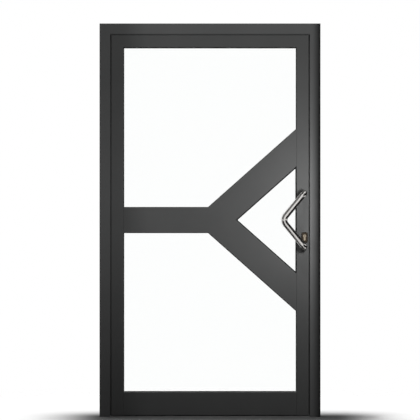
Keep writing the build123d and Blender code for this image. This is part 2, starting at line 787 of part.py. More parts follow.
def grid_parts():
    """Bottom rail, transom and braces with coped ends, their thermal bars and their connectors."""
    stiles = stile_shape()
    reach = OPEN_X + LEAF_FACE
    fork = grown(upper_field(), TRANSOM_FACE / 2)[1]
    past_fork = grown(upper_field(), -OVERRUN)[1]
    past_edge = grown(upper_field(), -OVERRUN)[2]
    low_past_fork = spot(past_fork.X, MIDDLE * 2 - past_fork.Z)
    rail_plan = [
        spot(-reach, FLOOR_GAP - OVERRUN),
        spot(reach, FLOOR_GAP - OVERRUN),
        spot(reach, OPEN_BOTTOM + OVERRUN),
        spot(-reach, OPEN_BOTTOM + OVERRUN),
    ]
    transom_plan = [
        spot(-reach, low_past_fork.Z),
        low_past_fork,
        fork,
        past_fork,
        spot(-reach, past_fork.Z),
    ]
    brace_plan = [
        fork,
        spot(reach, MIDDLE),
        spot(reach, past_edge.Z + (reach - past_edge.X) * SLOPE),
        past_fork,
    ]
    upper, lower = upper_field(), lower_field()

    def cut_bars(sections, start, end, plan):
        return [bar(section, start, end, plan) - stiles for section in sections]

    def connector(face, start, end, plan):
        low = REBATE + WALL + CLEAT_FIT
        section = oblong(low, face - low, INNER_SHELL + WALL + CLEAT_FIT, DEPTH - WALL - CLEAT_FIT)
        return bar(section, start, end, plan) - stiles

    def stub(corners):
        """The part of a plan that lies close to the lock stile."""
        limit = OPEN_X + REBATE - CONNECTOR_LENGTH
        low = min(corner.Z for corner in corners)
        high = max(corner.Z for corner in corners)
        return [spot(limit, low), spot(reach, low), spot(reach, high), spot(limit, high)]

    rail_outer, rail_inner, rail_bars = rail_sections()
    rail = cut_bars([rail_outer, rail_inner], *sides(lower)[0], rail_plan)
    bar_outer, bar_inner, bar_bars = grid_sections(TRANSOM_FACE)
    transom = cut_bars([bar_outer, bar_inner], *sides(upper)[0], transom_plan)
    brace_outer, brace_inner, brace_bars = grid_sections(BRACE_FACE)
    brace = cut_bars([brace_outer, brace_inner], *sides(upper)[1], brace_plan)
    brace_thermal = cut_bars(brace_bars, *sides(upper)[1], brace_plan)
    thermal = cut_bars(rail_bars, *sides(lower)[0], rail_plan)
    thermal += cut_bars(bar_bars, *sides(upper)[0], transom_plan)
    thermal += brace_thermal + [across_middle(shape) for shape in brace_thermal]

    rail_end = connector(RAIL_FACE + REBATE, *sides(lower)[0], stub(rail_plan))
    left_transom = sides([spot(-corner.X, corner.Z) for corner in reversed(upper)])
    transom_end = connector(TRANSOM_FACE, left_transom[3][0], left_transom[3][1], stub(transom_plan))
    brace_end = connector(BRACE_FACE, *sides(upper)[1], stub(brace_plan))
    connectors = [
        rail_end,
        mirror(rail_end, about=LEFT),
        mirror(transom_end, about=LEFT),
        brace_end,
        across_middle(brace_end),
    ]
    parts = {
        "bottom_rail": rail,
        "transom": transom,
        "upper_brace": brace,
        "lower_brace": [across_middle(shape) for shape in brace],
        "bar_connectors": connectors,
    }
    return parts, thermal


def brush_seal():
    """A brush in the channel under the bottom rail, just clear of the threshold."""
    half = BRUSH_CARRIER / 2
    channel = FLOOR_GAP + RAIL_CHANNEL
    tip = THRESHOLD + SEAL_PLAY
    end = OPEN_X + REBATE
    carrier = block(-end, end, LOCK_DEPTH - half, LOCK_DEPTH + half, FLOOR_GAP, channel)
    bristles = block(-end, end, LOCK_DEPTH - BRISTLE / 2, LOCK_DEPTH + BRISTLE / 2, tip, FLOOR_GAP)
    return {"brush_seal": [carrier + bristles]}


# Glazing
def bead_section():
    """A hollow glazing bead with a rounded inside edge."""
    bead = rounded(oblong(0, REBATE, BEAD_NEAR, DEPTH), (0, DEPTH), BEAD_ROUND)
    return bead - oblong(BEAD_WALL, REBATE - BEAD_WALL, BEAD_NEAR + BEAD_WALL, DEPTH - BEAD_WALL)


def outer_seal_section():
    """Rubber between the glass stop and the outer pane, with a sloping lip that shows."""
    return profile(
        (-SEAL_LIP, GLASS_NEAR),
        (SEAL_COVER, GLASS_NEAR),
        (SEAL_COVER, GLASS_STOP),
        (0, GLASS_STOP),
        (-SEAL_LIP, GLASS_NEAR - SEAL_LIP_EDGE),
    )


def inner_seal_section():
    """Rubber between the inner pane and the bead, with a sloping lip that shows."""
    return profile(
        (-SEAL_LIP, GLASS_FAR),
        (-SEAL_LIP, GLASS_FAR + SEAL_LIP_EDGE),
        (0, BEAD_NEAR),
        (SEAL_COVER, BEAD_NEAR),
        (SEAL_COVER, GLASS_FAR),
    )


def joined(shapes):
    """Several touching shapes as one."""
    whole = shapes[0]
    for shape in shapes[1:]:
        whole += shape
    return whole


def setting_block(start, end, from_start):
    """A block under the edge of a pane, on the rebate of the bar that carries it."""
    along = (end - start).normalized()
    out = outward(along)
    first = start + along * from_start + out * (REBATE - GLASS_CLEARANCE)
    last = first + along * BLOCK_LENGTH
    down = out * GLASS_CLEARANCE
    return slab([first, first + down, last + down, last], GLASS_NEAR, BEAD_NEAR)


def glazing_parts():
    """Panes, spacers, beads, seals and setting blocks of the three fields."""
    fields = {"upper": upper_field(), "lower": lower_field(), "side": side_field()}
    carriers = {"upper": (0, 1), "lower": (0,), "side": (0,)}
    pane_edge = REBATE - GLASS_CLEARANCE
    spacer_edge = pane_edge - SPACER_SETBACK
    parts = {"outer_glass_seals": [], "inner_glass_seals": [], "setting_blocks": []}
    for name, field in fields.items():
        pane = grown(field, pane_edge)
        frame = grown(field, spacer_edge)
        hollow = grown(field, spacer_edge - SPACER_WIDTH)
        parts[name + "_outer_pane"] = [slab(pane, GLASS_NEAR, CAVITY_NEAR)]
        parts[name + "_inner_pane"] = [slab(pane, CAVITY_FAR, GLASS_FAR)]
        parts[name + "_spacer"] = [
            slab(frame, CAVITY_NEAR, CAVITY_FAR) - slab(hollow, CAVITY_NEAR - OVERRUN, CAVITY_FAR + OVERRUN)
        ]
        parts[name + "_beads"] = mitred_ring(bead_section(), field, 0, REBATE)
        parts["outer_glass_seals"].append(joined(mitred_ring(outer_seal_section(), field, -SEAL_LIP, SEAL_COVER)))
        parts["inner_glass_seals"].append(joined(mitred_ring(inner_seal_section(), field, -SEAL_LIP, SEAL_COVER)))
        for i in carriers[name]:
            start, end = sides(field)[i]
            far = (end - start).length - BLOCK_FROM_CORNER - BLOCK_LENGTH
            parts["setting_blocks"] += [setting_block(start, end, at) for at in (BLOCK_FROM_CORNER, far)]
    return parts


# Hinges
def hinge_wing(side, wing, turns, bore, bottom):
    """One wing of a hinge with its knuckles: side is -1 for the frame's wing and 1 for the leaf's."""
    axis_y = deep(HINGE_DEPTH)
    foot = deep(DEPTH)
    top = foot + HINGE_WING
    near = HINGE_X + side * INNER_GAP / 2
    knuckle_tall = (HINGE_TALL - KNUCKLE_GAP * (KNUCKLES - 1)) / KNUCKLES
    plate = make_face(
        Polyline((near, foot), (near + side * wing, foot), (near + side * wing, top), (near, top), close=True)
    )
    neck = make_face(
        Polyline(
            (HINGE_X, axis_y),
            (HINGE_X + side * KNUCKLE_RADIUS, axis_y),
            (near + side * NECK, top),
            (near + side * NECK, foot),
            (near, foot),
            (near, top),
            close=True,
        )
    )
    level = Plane(origin=(0, 0, bottom))
    body = extrude(level * plate, amount=HINGE_TALL)
    tips = body.edges().filter_by(Axis.Y).group_by(Axis.X)[-1 if side > 0 else 0]
    body = fillet(tips, WING_ROUND)
    for turn in turns:
        start = Plane(origin=(0, 0, bottom + turn * (knuckle_tall + KNUCKLE_GAP)))
        knuckle = neck + Pos(HINGE_X, axis_y) * Circle(KNUCKLE_RADIUS)
        body += extrude(start * knuckle, amount=knuckle_tall)
    hole = level * Pos(HINGE_X, axis_y) * Circle(bore)
    return body - extrude(hole, amount=HINGE_TALL)


def hinge_pin(bottom):
    """A headed pin through the knuckles of one hinge."""
    level = Plane(origin=(HINGE_X, deep(HINGE_DEPTH), bottom))
    pin = extrude(level * Circle(PIN_RADIUS), amount=HINGE_TALL)
    low = Plane(origin=(HINGE_X, deep(HINGE_DEPTH), bottom - PIN_HEAD))
    high = Plane(origin=(HINGE_X, deep(HINGE_DEPTH), bottom + HINGE_TALL))
    foot = extrude(low * Circle(PIN_HEAD_RADIUS), amount=PIN_HEAD)
    foot = chamfer(foot.edges().sort_by(Axis.Z)[0], PIN_HEAD_BEVEL)
    head = extrude(high * Circle(PIN_HEAD_RADIUS), amount=PIN_HEAD)
    head = chamfer(head.edges().sort_by(Axis.Z)[-1], PIN_HEAD_BEVEL)
    return pin + foot + head


def hinge_bush(bottom):
    """A plain bush in the leaf's knuckle, round the pin."""
    tall = (HINGE_TALL - KNUCKLE_GAP * (KNUCKLES - 1)) / KNUCKLES
    level = Plane(origin=(HINGE_X, deep(HINGE_DEPTH), bottom + tall + KNUCKLE_GAP))
    ring = Circle(BUSH_RADIUS) - Circle(PIN_RADIUS + RUN_FIT)
    return extrude(level * ring, amount=tall)


def hinge_parts():
    """Three hinges: at the bottom, in the middle and at the top of the leaf."""
    heights = {"bottom": HINGE_END, "middle": MIDDLE, "top": HEIGHT - HINGE_END}
    parts = {"hinge_pins": [], "hinge_bushes": []}
    for name, height in heights.items():
        bottom = height - HINGE_TALL / 2
        parts[name + "_hinge_frame_wing"] = [hinge_wing(-1, FRAME_WING, (0, 2), PIN_RADIUS + PIN_FIT, bottom)]
        parts[name + "_hinge_leaf_wing"] = [hinge_wing(1, LEAF_WING, (1,), BUSH_RADIUS + PIN_FIT, bottom)]
        parts["hinge_pins"].append(hinge_pin(bottom))
        parts["hinge_bushes"].append(hinge_bush(bottom))
    return parts


# Lock
def lock_case():
    """A thin box for the latch, the deadbolt and the follower, open towards the faceplate."""
    near = LOCK_DEPTH - CASE_THICK / 2
    far = LOCK_DEPTH + CASE_THICK / 2
    back = OPEN_X + CASE_LINE
    case = block(back, PLATE_X, near, far, CASE_BOTTOM, CASE_TOP)
    case -= block(
        back + CASE_WALL,
        PLATE_X + OVERRUN,
        near + CASE_WALL,
        far - CASE_WALL,
        CASE_BOTTOM + CASE_WALL,
        CASE_TOP - CASE_WALL,
    )
    case -= through(euro_profile(CYLINDER_FIT), LOCK_X, CYLINDER_HEIGHT, near - OVERRUN, far + OVERRUN)
    case -= through(Circle(HUB_BOSS_RADIUS + RUN_FIT), LOCK_X, SPINDLE_HEIGHT, near - OVERRUN, far + OVERRUN)
    return case


def lock_faceplate():
    """The plate in the leaf's edge, with openings for the latch, the deadbolt and the cylinder screw."""
    near = OUTER_SHELL + FACEPLATE_FIT
    far = INNER_SHELL - FACEPLATE_FIT
    plate = block(
        PLATE_X, EDGE_X, near, far, CASE_BOTTOM - FACEPLATE_PAST_CASE, CASE_TOP + FACEPLATE_PAST_CASE
    )
    for thick, bottom, tall in (
        (LATCH_THICK, LATCH_BOTTOM, LATCH_TALL),
        (BOLT_THICK, BOLT_BOTTOM, BOLT_TALL),
    ):
        plate -= block(
            PLATE_X - OVERRUN,
            EDGE_X + OVERRUN,
            LOCK_DEPTH - thick / 2 - SLIDE_PLAY,
            LOCK_DEPTH + thick / 2 + SLIDE_PLAY,
            bottom - SLIDE_PLAY,
            bottom + tall + SLIDE_PLAY,
        )
    plate -= across_hole(SCREW_RADIUS + SCREW_FIT, PLATE_X - OVERRUN, EDGE_X + OVERRUN, LOCK_DEPTH, SCREW_HEIGHT)
    seat = EDGE_X - SCREW_HEAD
    return plate - across_hole(SCREW_HEAD_RADIUS + SCREW_FIT, seat, EDGE_X + OVERRUN, LOCK_DEPTH, SCREW_HEIGHT)


def latch_bolt():
    """The sprung latch: a bevelled head, a tail over the lock arm and a hook behind it."""
    near = deep(LOCK_DEPTH - LATCH_THICK / 2)
    far = deep(LOCK_DEPTH + LATCH_THICK / 2)
    rear = LOCK_X + ARM / 2 + HOOK_PLAY + LATCH_THROW
    tip = EDGE_X + LATCH_THROW
    head = make_face(
        Polyline((rear, near), (EDGE_X, near), (tip, far - LATCH_TIP), (tip, far), (rear, far), close=True)
    )
    latch = extrude(Plane(origin=(0, 0, LATCH_BOTTOM)) * head, amount=LATCH_TALL)
    tail_bottom = SPINDLE_HEIGHT + ARM_REACH + HOOK_PLAY
    hook_x = LOCK_X - HOOK_REACH
    tail_near = LOCK_DEPTH - TAIL_THICK / 2
    tail_far = LOCK_DEPTH + TAIL_THICK / 2
    latch += block(hook_x, rear, tail_near, tail_far, tail_bottom, tail_bottom + TAIL_TALL)
    return latch + block(hook_x, hook_x + HOOK, tail_near, tail_far, LATCH_BOTTOM, tail_bottom + TAIL_TALL)


def deadbolt():
    """The square bolt, drawn back into the case."""
    front = EDGE_X - BOLT_SETBACK
    half = BOLT_THICK / 2
    return block(
        front - BOLT_LENGTH, front, LOCK_DEPTH - half, LOCK_DEPTH + half, BOLT_BOTTOM, BOLT_BOTTOM + BOLT_TALL
    )


def lock_follower():
    """The hub on the spindle, with bosses in the case and an arm that draws the latch."""
    half = CASE_THICK / 2
    inside = half - CASE_WALL - CAM_PLAY
    hub = through(Circle(HUB_RADIUS), LOCK_X, SPINDLE_HEIGHT, LOCK_DEPTH - inside, LOCK_DEPTH + inside)
    hub += through(Circle(HUB_BOSS_RADIUS), LOCK_X, SPINDLE_HEIGHT, LOCK_DEPTH - half, LOCK_DEPTH + half)
    hub += block(
        LOCK_X - ARM / 2,
        LOCK_X + ARM / 2,
        LOCK_DEPTH - TAIL_THICK / 2,
        LOCK_DEPTH + TAIL_THICK / 2,
        SPINDLE_HEIGHT,
        SPINDLE_HEIGHT + ARM_REACH,
    )
    square = Rectangle(SPINDLE + SPINDLE_FIT * 2, SPINDLE + SPINDLE_FIT * 2)
    return hub - through(square, LOCK_X, SPINDLE_HEIGHT, LOCK_DEPTH - half - OVERRUN, LOCK_DEPTH + half + OVERRUN)


def cylinder_body():
    """A double profile cylinder with its cam gap in the middle and a bore for the plugs."""
    near = -CYLINDER_PROUD
    far = DEPTH + CYLINDER_PROUD
    body = through(euro_profile(0), LOCK_X, CYLINDER_HEIGHT, near, far)
    bore = Circle(PLUG_RADIUS + RUN_FIT)
    body -= through(bore, LOCK_X, CYLINDER_HEIGHT, near - OVERRUN, far + OVERRUN)
    half = CAM_THICK / 2 + CAM_PLAY
    body -= block(
        LOCK_X - CYLINDER_RADIUS - OVERRUN,
        LOCK_X + CYLINDER_RADIUS + OVERRUN,
        LOCK_DEPTH - half,
        LOCK_DEPTH + half,
        CYLINDER_HEIGHT - CAM_RADIUS - BRIDGE_GAP,
        CYLINDER_HEIGHT + CYLINDER_RADIUS + OVERRUN,
    )
    low = LOCK_X - CYLINDER_WEB
    return body - across_hole(SCREW_RADIUS + SCREW_FIT, low, LOCK_X + CYLINDER_WEB, LOCK_DEPTH, SCREW_HEIGHT)


def cylinder_screw():
    """The long screw that holds the cylinder from the faceplate."""
    seat = EDGE_X - SCREW_HEAD
    shank = across_hole(SCREW_RADIUS, LOCK_X - CYLINDER_WEB / 2, seat, LOCK_DEPTH, SCREW_HEIGHT)
    return shank + across_hole(SCREW_HEAD_RADIUS, seat, EDGE_X, LOCK_DEPTH, SCREW_HEIGHT)


def cylinder_plug():
    """The outside plug with its keyway."""
    near = -CYLINDER_PROUD
    far = LOCK_DEPTH - CAM_THICK / 2
    plug = through(Circle(PLUG_RADIUS), LOCK_X, CYLINDER_HEIGHT, near, far)
    keyway = through(Rectangle(KEYWAY, KEYWAY_TALL), LOCK_X, CYLINDER_HEIGHT, near - OVERRUN, near + KEYWAY_DEEP)
    return plug - keyway


def cylinder_cam():
    """The cam between the plugs, with a nose that throws the deadbolt."""
    nose = Pos(0, CAM_RADIUS / 2) * Rectangle(CAM_NOSE, CAM_RADIUS)
    shape = Circle(CYLINDER_RADIUS) + (nose & Circle(CAM_RADIUS))
    half = CAM_THICK / 2
    return through(shape, LOCK_X, CYLINDER_HEIGHT, LOCK_DEPTH - half, LOCK_DEPTH + half)


def thumb_turn():
    """The inside plug with a collar and a flat grip."""
    collar_near = DEPTH + CYLINDER_PROUD + CAM_PLAY
    collar_far = collar_near + TURN_COLLAR
    turn = through(Circle(PLUG_RADIUS), LOCK_X, CYLINDER_HEIGHT, LOCK_DEPTH + CAM_THICK / 2, collar_near)
    turn += through(Circle(TURN_COLLAR_RADIUS), LOCK_X, CYLINDER_HEIGHT, collar_near, collar_far)
    grip = Rot(0, 0, 90) * SlotOverall(TURN_TALL, TURN_WIDE)
    knob = through(grip, LOCK_X, CYLINDER_HEIGHT, collar_far, collar_far + TURN_OUT)
    return turn + fillet(knob.edges().group_by(Axis.Y)[-1], TURN_ROUND)


def cylinder_plate(outside):
    """A plate with rounded corners round the cylinder, on the outside or the inside face."""
    centre = CYLINDER_HEIGHT + CYLINDER_RADIUS - CYLINDER_TALL / 2
    outline = RectangleRounded(PLATE_WIDE, PLATE_TALL, PLATE_CORNER)
    near, far = (-PLATE_THICK, 0) if outside else (DEPTH, DEPTH + PLATE_THICK)
    plate = through(outline, LOCK_X, centre, near, far)
    plate = fillet(plate.edges().group_by(Axis.Y)[0 if outside else -1], PLATE_ROUND)
    hole = euro_profile(CYLINDER_FIT)
    return plate - through(hole, LOCK_X, CYLINDER_HEIGHT, near - OVERRUN, far + OVERRUN)


def lock_parts():
    """Everything of the lock."""
    return {
        "lock_case": [lock_case()],
        "lock_faceplate": [lock_faceplate()],
        "latch_bolt": [latch_bolt()],
        "deadbolt": [deadbolt()],
        "lock_follower": [lock_follower()],
        "cylinder_body": [cylinder_body()],
        "cylinder_screw": [cylinder_screw()],
        "cylinder_plug": [cylinder_plug()],
        "cylinder_cam": [cylinder_cam()],
        "thumb_turn": [thumb_turn()],
        "outer_cylinder_plate": [cylinder_plate(True)],
        "inner_cylinder_plate": [cylinder_plate(False)],
    }


# Handles
def swept(radius, path):
    """A round bar along a path."""
    plane = Plane(origin=path @ 0, z_dir=path % 0)
    return sweep(plane * Circle(radius), path=path)


def pull_handle():
    """A steel tube bent into a V that stands off the lock stile on its two turned-in ends."""
    (x, high), (x, low) = handle_places()
    face = deep(0)
    front = face - HANDLE_OUT
    path = FilletPolyline(
        (x, face, high),
        (x, front, high),
        (x - HANDLE_REACH, front, (high + low) / 2),
        (x, front, low),
        (x, face, low),
        radius=[ELBOW_RADIUS, APEX_RADIUS, ELBOW_RADIUS],
    )
    tube = swept(TUBE_RADIUS, path) - swept(TUBE_RADIUS - TUBE_WALL, path)
    for place in handle_places():
        tube += through(Circle(TUBE_RADIUS - TUBE_WALL), *place, -TUBE_PLUG, 0)
    for place in handle_places():
        tube -= through(Circle(STUD_RADIUS + STUD_FIT), *place, -TUBE_PLUG - OVERRUN, OVERRUN)
    return tube


def handle_fixing(x, z):
    """A stud in the end of the tube, with a collar behind the stile's outer wall."""
    stud = through(Circle(STUD_RADIUS), x, z, -TUBE_PLUG, WALL)
    return stud + through(Circle(STUD_COLLAR_RADIUS), x, z, WALL, WALL + STUD_COLLAR)


def inside_knob():
    """A turned knob with a slim neck, a flared back, grip flutes and a square socket for the spindle."""
    flare = KNOB_NECK + KNOB_FLARE
    back = Polyline((0, KNOB_GAP), (KNOB_NECK_RADIUS, KNOB_GAP), (KNOB_NECK_RADIUS, KNOB_NECK))
    curve = Bezier((KNOB_NECK_RADIUS, KNOB_NECK), (KNOB_NECK_RADIUS, flare), (KNOB_RADIUS, flare))
    front = Polyline((KNOB_RADIUS, flare), (KNOB_RADIUS, KNOB_OUT), (0, KNOB_OUT - KNOB_DISH), (0, KNOB_GAP))
    half = make_face(back + curve + front)
    half = rounded(half, (KNOB_RADIUS, KNOB_OUT), KNOB_ROUND)
    centre = Vector(LOCK_X, deep(DEPTH), SPINDLE_HEIGHT)
    knob = revolve(Plane(origin=centre) * half, axis=Axis(centre, INWARDS))
    ring = PolarLocations(KNOB_RADIUS + FLUTE_RADIUS - FLUTE_DEPTH, FLUTES)
    for place in ring:
        knob -= through(
            place * Circle(FLUTE_RADIUS), LOCK_X, SPINDLE_HEIGHT, DEPTH + KNOB_NECK, DEPTH + KNOB_OUT + OVERRUN
        )
    socket = Rectangle(SPINDLE + SPINDLE_FIT * 2, SPINDLE + SPINDLE_FIT * 2)
    return knob - through(socket, LOCK_X, SPINDLE_HEIGHT, DEPTH, DEPTH + SPINDLE_IN_KNOB)


def knob_spindle():
    """The square bar from the follower to the knob."""
    near = LOCK_DEPTH - CASE_THICK / 2
    return through(Rectangle(SPINDLE, SPINDLE), LOCK_X, SPINDLE_HEIGHT, near, DEPTH + SPINDLE_IN_KNOB)


def knob_rose():
    """The round plate under the knob."""
    rose = through(Circle(ROSE_RADIUS), LOCK_X, SPINDLE_HEIGHT, DEPTH, DEPTH + ROSE_THICK)
    rose = chamfer(rose.edges().group_by(Axis.Y)[-1], ROSE_BEVEL)
    hole = Circle(KNOB_NECK_RADIUS + RUN_FIT)
    return rose - through(hole, LOCK_X, SPINDLE_HEIGHT, DEPTH - OVERRUN, DEPTH + ROSE_THICK + OVERRUN)


def handle_parts():
    """Pull handle and knob with what fixes them."""
    return {
        "pull_handle": [pull_handle()],
        "pull_handle_fixings": [handle_fixing(*place) for place in handle_places()],
        "inside_knob": [inside_knob()],
        "knob_spindle": [knob_spindle()],
        "knob_rose": [knob_rose()],
    }


def all_parts():
    """Every piece of the door by name."""
    parts = {**frame_parts(), **threshold(), **stop_seals(), **strike_plate()}
    leaf, leaf_thermal = leaf_frame_parts()
    grid, grid_thermal = grid_parts()
    parts.update(leaf)
    parts.update(grid)
    parts["leaf_thermal_bars"] = leaf_thermal + grid_thermal
    for group in (brush_seal(), glazing_parts(), hinge_parts(), lock_parts(), handle_parts()):
        parts.update(group)
    return parts


os.makedirs("parts", exist_ok=True)
for node, shapes in all_parts().items():
    export_step(Compound(solids_of(shapes)), "parts/" + node + ".step")
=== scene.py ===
"""A dark glazed front door with a K-shaped grid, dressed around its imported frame."""

from __future__ import annotations

import logging
import math
import random
from dataclasses import dataclass
from enum import Enum
from typing import Iterable, Union

import bmesh
import bpy
from mathutils import Matrix, Vector

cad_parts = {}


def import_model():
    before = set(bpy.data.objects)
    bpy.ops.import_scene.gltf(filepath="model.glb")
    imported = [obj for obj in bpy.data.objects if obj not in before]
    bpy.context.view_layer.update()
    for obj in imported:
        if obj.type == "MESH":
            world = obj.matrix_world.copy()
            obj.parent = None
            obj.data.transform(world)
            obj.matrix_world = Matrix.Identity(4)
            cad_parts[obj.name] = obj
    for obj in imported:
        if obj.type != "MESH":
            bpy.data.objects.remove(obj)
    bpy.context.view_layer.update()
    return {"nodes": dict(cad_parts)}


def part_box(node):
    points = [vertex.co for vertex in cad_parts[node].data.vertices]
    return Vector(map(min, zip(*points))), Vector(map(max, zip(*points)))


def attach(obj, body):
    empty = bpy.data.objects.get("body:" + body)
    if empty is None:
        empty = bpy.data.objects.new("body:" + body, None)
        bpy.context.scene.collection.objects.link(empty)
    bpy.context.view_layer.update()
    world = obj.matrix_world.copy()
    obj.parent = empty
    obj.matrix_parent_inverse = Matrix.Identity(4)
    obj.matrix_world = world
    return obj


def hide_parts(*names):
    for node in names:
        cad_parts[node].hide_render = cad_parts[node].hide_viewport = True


LOG = logging.getLogger("front_door")
HARD_EDGE = math.radians(35.0)
WHITE = (1.0, 1.0, 1.0, 1.0)

Pair = tuple[float, float]
Colour = tuple[float, float, float]
Point = tuple[float, float, float]
Number = Union["Shade", float]


class Shade:
    """A socket that varies over a surface; arithmetic on it adds Math nodes."""

    def __init__(self, recipe: "Recipe", socket: bpy.types.NodeSocket) -> None:
        """Wrap one output socket.

        Args:
            recipe: The node tree that the socket belongs to.
            socket: The output socket.
        """
        self.recipe = recipe
        self.socket = socket

    def __add__(self, other: Number) -> "Shade":
        """Sum with a value."""
        return self.recipe.math("ADD", self, other)

    def __radd__(self, other: float) -> "Shade":
        """Sum with a number on the left."""
        return self.recipe.math("ADD", other, self)

    def __sub__(self, other: Number) -> "Shade":
        """Difference from a value."""
        return self.recipe.math("SUBTRACT", self, other)

    def __rsub__(self, other: float) -> "Shade":
        """Difference with a number on the left."""
        return self.recipe.math("SUBTRACT", other, self)

    def __mul__(self, other: Number) -> "Shade":
        """Product with a value."""
        return self.recipe.math("MULTIPLY", self, other)

    def __rmul__(self, other: float) -> "Shade":
        """Product with a number on the left."""
        return self.recipe.math("MULTIPLY", other, self)


class Recipe:
    """A node tree under construction."""

    def __init__(self, tree: bpy.types.NodeTree) -> None:
        """Empty a node tree and take it over.

        Args:
            tree: The tree of a material or of the world.
        """
        self.tree = tree
        tree.nodes.clear()

    def node(self, kind: str, settings: dict, inputs: dict, output: Union[int, str] = 0) -> Shade:
        """Add one node.

        Args:
            kind: Blender's name of the node type.
            settings: The node's own properties, set first.
            inputs: Values or links of its sockets, by name or number.
            output: The output socket wanted.

        Returns:
            The wanted output.
        """
        made = self._add(kind, settings, inputs)
        return Shade(self, made.outputs[output])

    def end(self, kind: str, shader: Shade) -> None:
        """Close the tree with its output node."""
        self._add(kind, {}, {"Surface": shader})

    def _add(self, kind: str, settings: dict, inputs: dict) -> bpy.types.Node:
        """Make a node, set its properties, then its inputs.

        Args:
            kind: Blender's name of the node type.
            settings: The node's own properties.
            inputs: Values or links of its sockets.

        Returns:
            The node.
        """
        made = self.tree.nodes.new(kind)
        for key, value in settings.items():
            setattr(made, key, value)
        for key, value in inputs.items():
            if isinstance(value, Shade):
                self.tree.links.new(value.socket, made.inputs[key])
            else:
                made.inputs[key].default_value = value
        return made

    def math(self, operation: str, first: Number, second: Number) -> Shade:
        """Add a Math node on two values."""
        return self.node("ShaderNodeMath", {"operation": operation}, {0: first, 1: second})

    def size(self, value: Shade) -> Shade:
        """The value without its sign."""
        return self.node("ShaderNodeMath", {"operation": "ABSOLUTE"}, {0: value})

    def clamp(self, value: Shade) -> Shade:
        """Hold a value between 0 and 1."""
        return self.node("ShaderNodeClamp", {}, {"Value": value})

    def place(self, stretch: Point = (1.0, 1.0, 1.0), turn: Point = (0.0, 0.0, 0.0)) -> Shade:
        """Object coordinates, stretched and turned for a pattern.

        Args:
            stretch: Scale of the pattern along each axis.
            turn: Turn of the pattern about each axis, in radians.

        Returns:
            The coordinates.
        """
        spot = self.node("ShaderNodeTexCoord", {}, {}, "Object")
        return self.node("ShaderNodeMapping", {}, {"Vector": spot, "Scale": stretch, "Rotation": turn})

    def axis(self, where: Shade, name: str) -> Shade:
        """One axis of a set of coordinates."""
        return self.node("ShaderNodeSeparateXYZ", {}, {"Vector": where}, name)

    def noise(self, where: Shade, scale: float, detail: float = 2.0, rough: float = 0.5) -> Shade:
        """A noise pattern.

        Args:
            where: The coordinates.
            scale: Waves per metre.
            detail: Number of finer layers.
            rough: Weight of the finer layers.

        Returns:
            The pattern, about 0.5 on average.
        """
        inputs = {"Vector": where, "Scale": scale, "Detail": detail, "Roughness": rough}
        return self.node("ShaderNodeTexNoise", {"noise_dimensions": "3D"}, inputs)

    def spread(self, value: Shade, low: float, high: float) -> Shade:
        """Stretch the middle of a pattern to the range from 0 to 1.

        Args:
            value: The pattern.
            low: What becomes 0.
            high: What becomes 1.

        Returns:
            The stretched pattern.
        """
        inputs = {"Value": value, "From Min": low, "From Max": high}
        return self.node("ShaderNodeMapRange", {"interpolation_type": "SMOOTHSTEP"}, inputs)

    def blend(self, factor: Number, first: Union[Shade, Colour], second: Union[Shade, Colour]) -> Shade:
        """Mix two colours.

        Args:
            factor: Share of the second colour.
            first: The colour at 0.
            second: The colour at 1.

        Returns:
            The mixed colour.
        """
        sides = [side if isinstance(side, Shade) else (*side, 1.0) for side in (first, second)]
        inputs = {0: factor, 6: sides[0], 7: sides[1]}
        return self.node("ShaderNodeMix", {"data_type": "RGBA"}, inputs, 2)

    def bump(self, height: Shade, distance: float, strength: float) -> Shade:
        """Turn a height pattern into a normal."""
        inputs = {"Height": height, "Distance": distance, "Strength": strength}
        return self.node("ShaderNodeBump", {}, inputs)

    def surface(self, constants: dict, links: dict) -> None:
        """Close the tree with a Principled shader.

        Args:
            constants: Values that are the same all over the surface.
            links: Sockets that vary.
        """
        shader = self.node("ShaderNodeBsdfPrincipled", {}, {**constants, **links})
        self.end("ShaderNodeOutputMaterial", shader)


def new_recipe(name: str) -> tuple[bpy.types.Material, Recipe]:
    """Start a material.

    Args:
        name: The material's name.

    Returns:
        The material and its recipe.
    """
    material = bpy.data.materials.new(name)
    material.use_nodes = True
    return material, Recipe(material.node_tree)


class Grain(Enum):
    """Which way a metal was brushed, as the stretch of its pattern."""

    ALONG_X = (0.02, 1.0, 1.0)
    ALONG_Z = (1.0, 1.0, 0.02)
    EVEN = (1.0, 1.0, 1.0)


@dataclass(frozen=True)
class PowderCoat:
    """Baked powder paint: matt, slightly cloudy, with a fine orange-peel grain."""

    name: str
    colour: Colour
    lighter: Colour
    roughness: float = 0.5
    specular: float = 0.05
    peel_scale: float = 620.0
    peel_height: float = 0.00012
    peel_strength: float = 0.35
    fleck_scale: float = 1426.0
    cloud_scale: float = 3.1
    cloud_share: float = 0.75
    dull_swing: float = 0.06

    def material(self) -> bpy.types.Material:
        """Build the paint.

        Returns:
            The material.
        """
        made, mix = new_recipe(self.name)
        where = mix.place()
        cloud = mix.spread(mix.noise(where, self.cloud_scale, detail=4.0, rough=0.6), 0.3, 0.7)
        fleck = mix.noise(where, self.fleck_scale, detail=1.0)
        peel = mix.noise(where, self.peel_scale, detail=2.0, rough=0.55)
        tone = mix.clamp(self.cloud_share * cloud + (1.0 - self.cloud_share) * fleck)
        mix.surface(
            {"Specular IOR Level": self.specular},
            {
                "Base Color": mix.blend(tone, self.colour, self.lighter),
                "Roughness": self.roughness - self.dull_swing + 2.0 * self.dull_swing * cloud,
                "Normal": mix.bump(peel, self.peel_height, self.peel_strength),
            },
        )
        return made


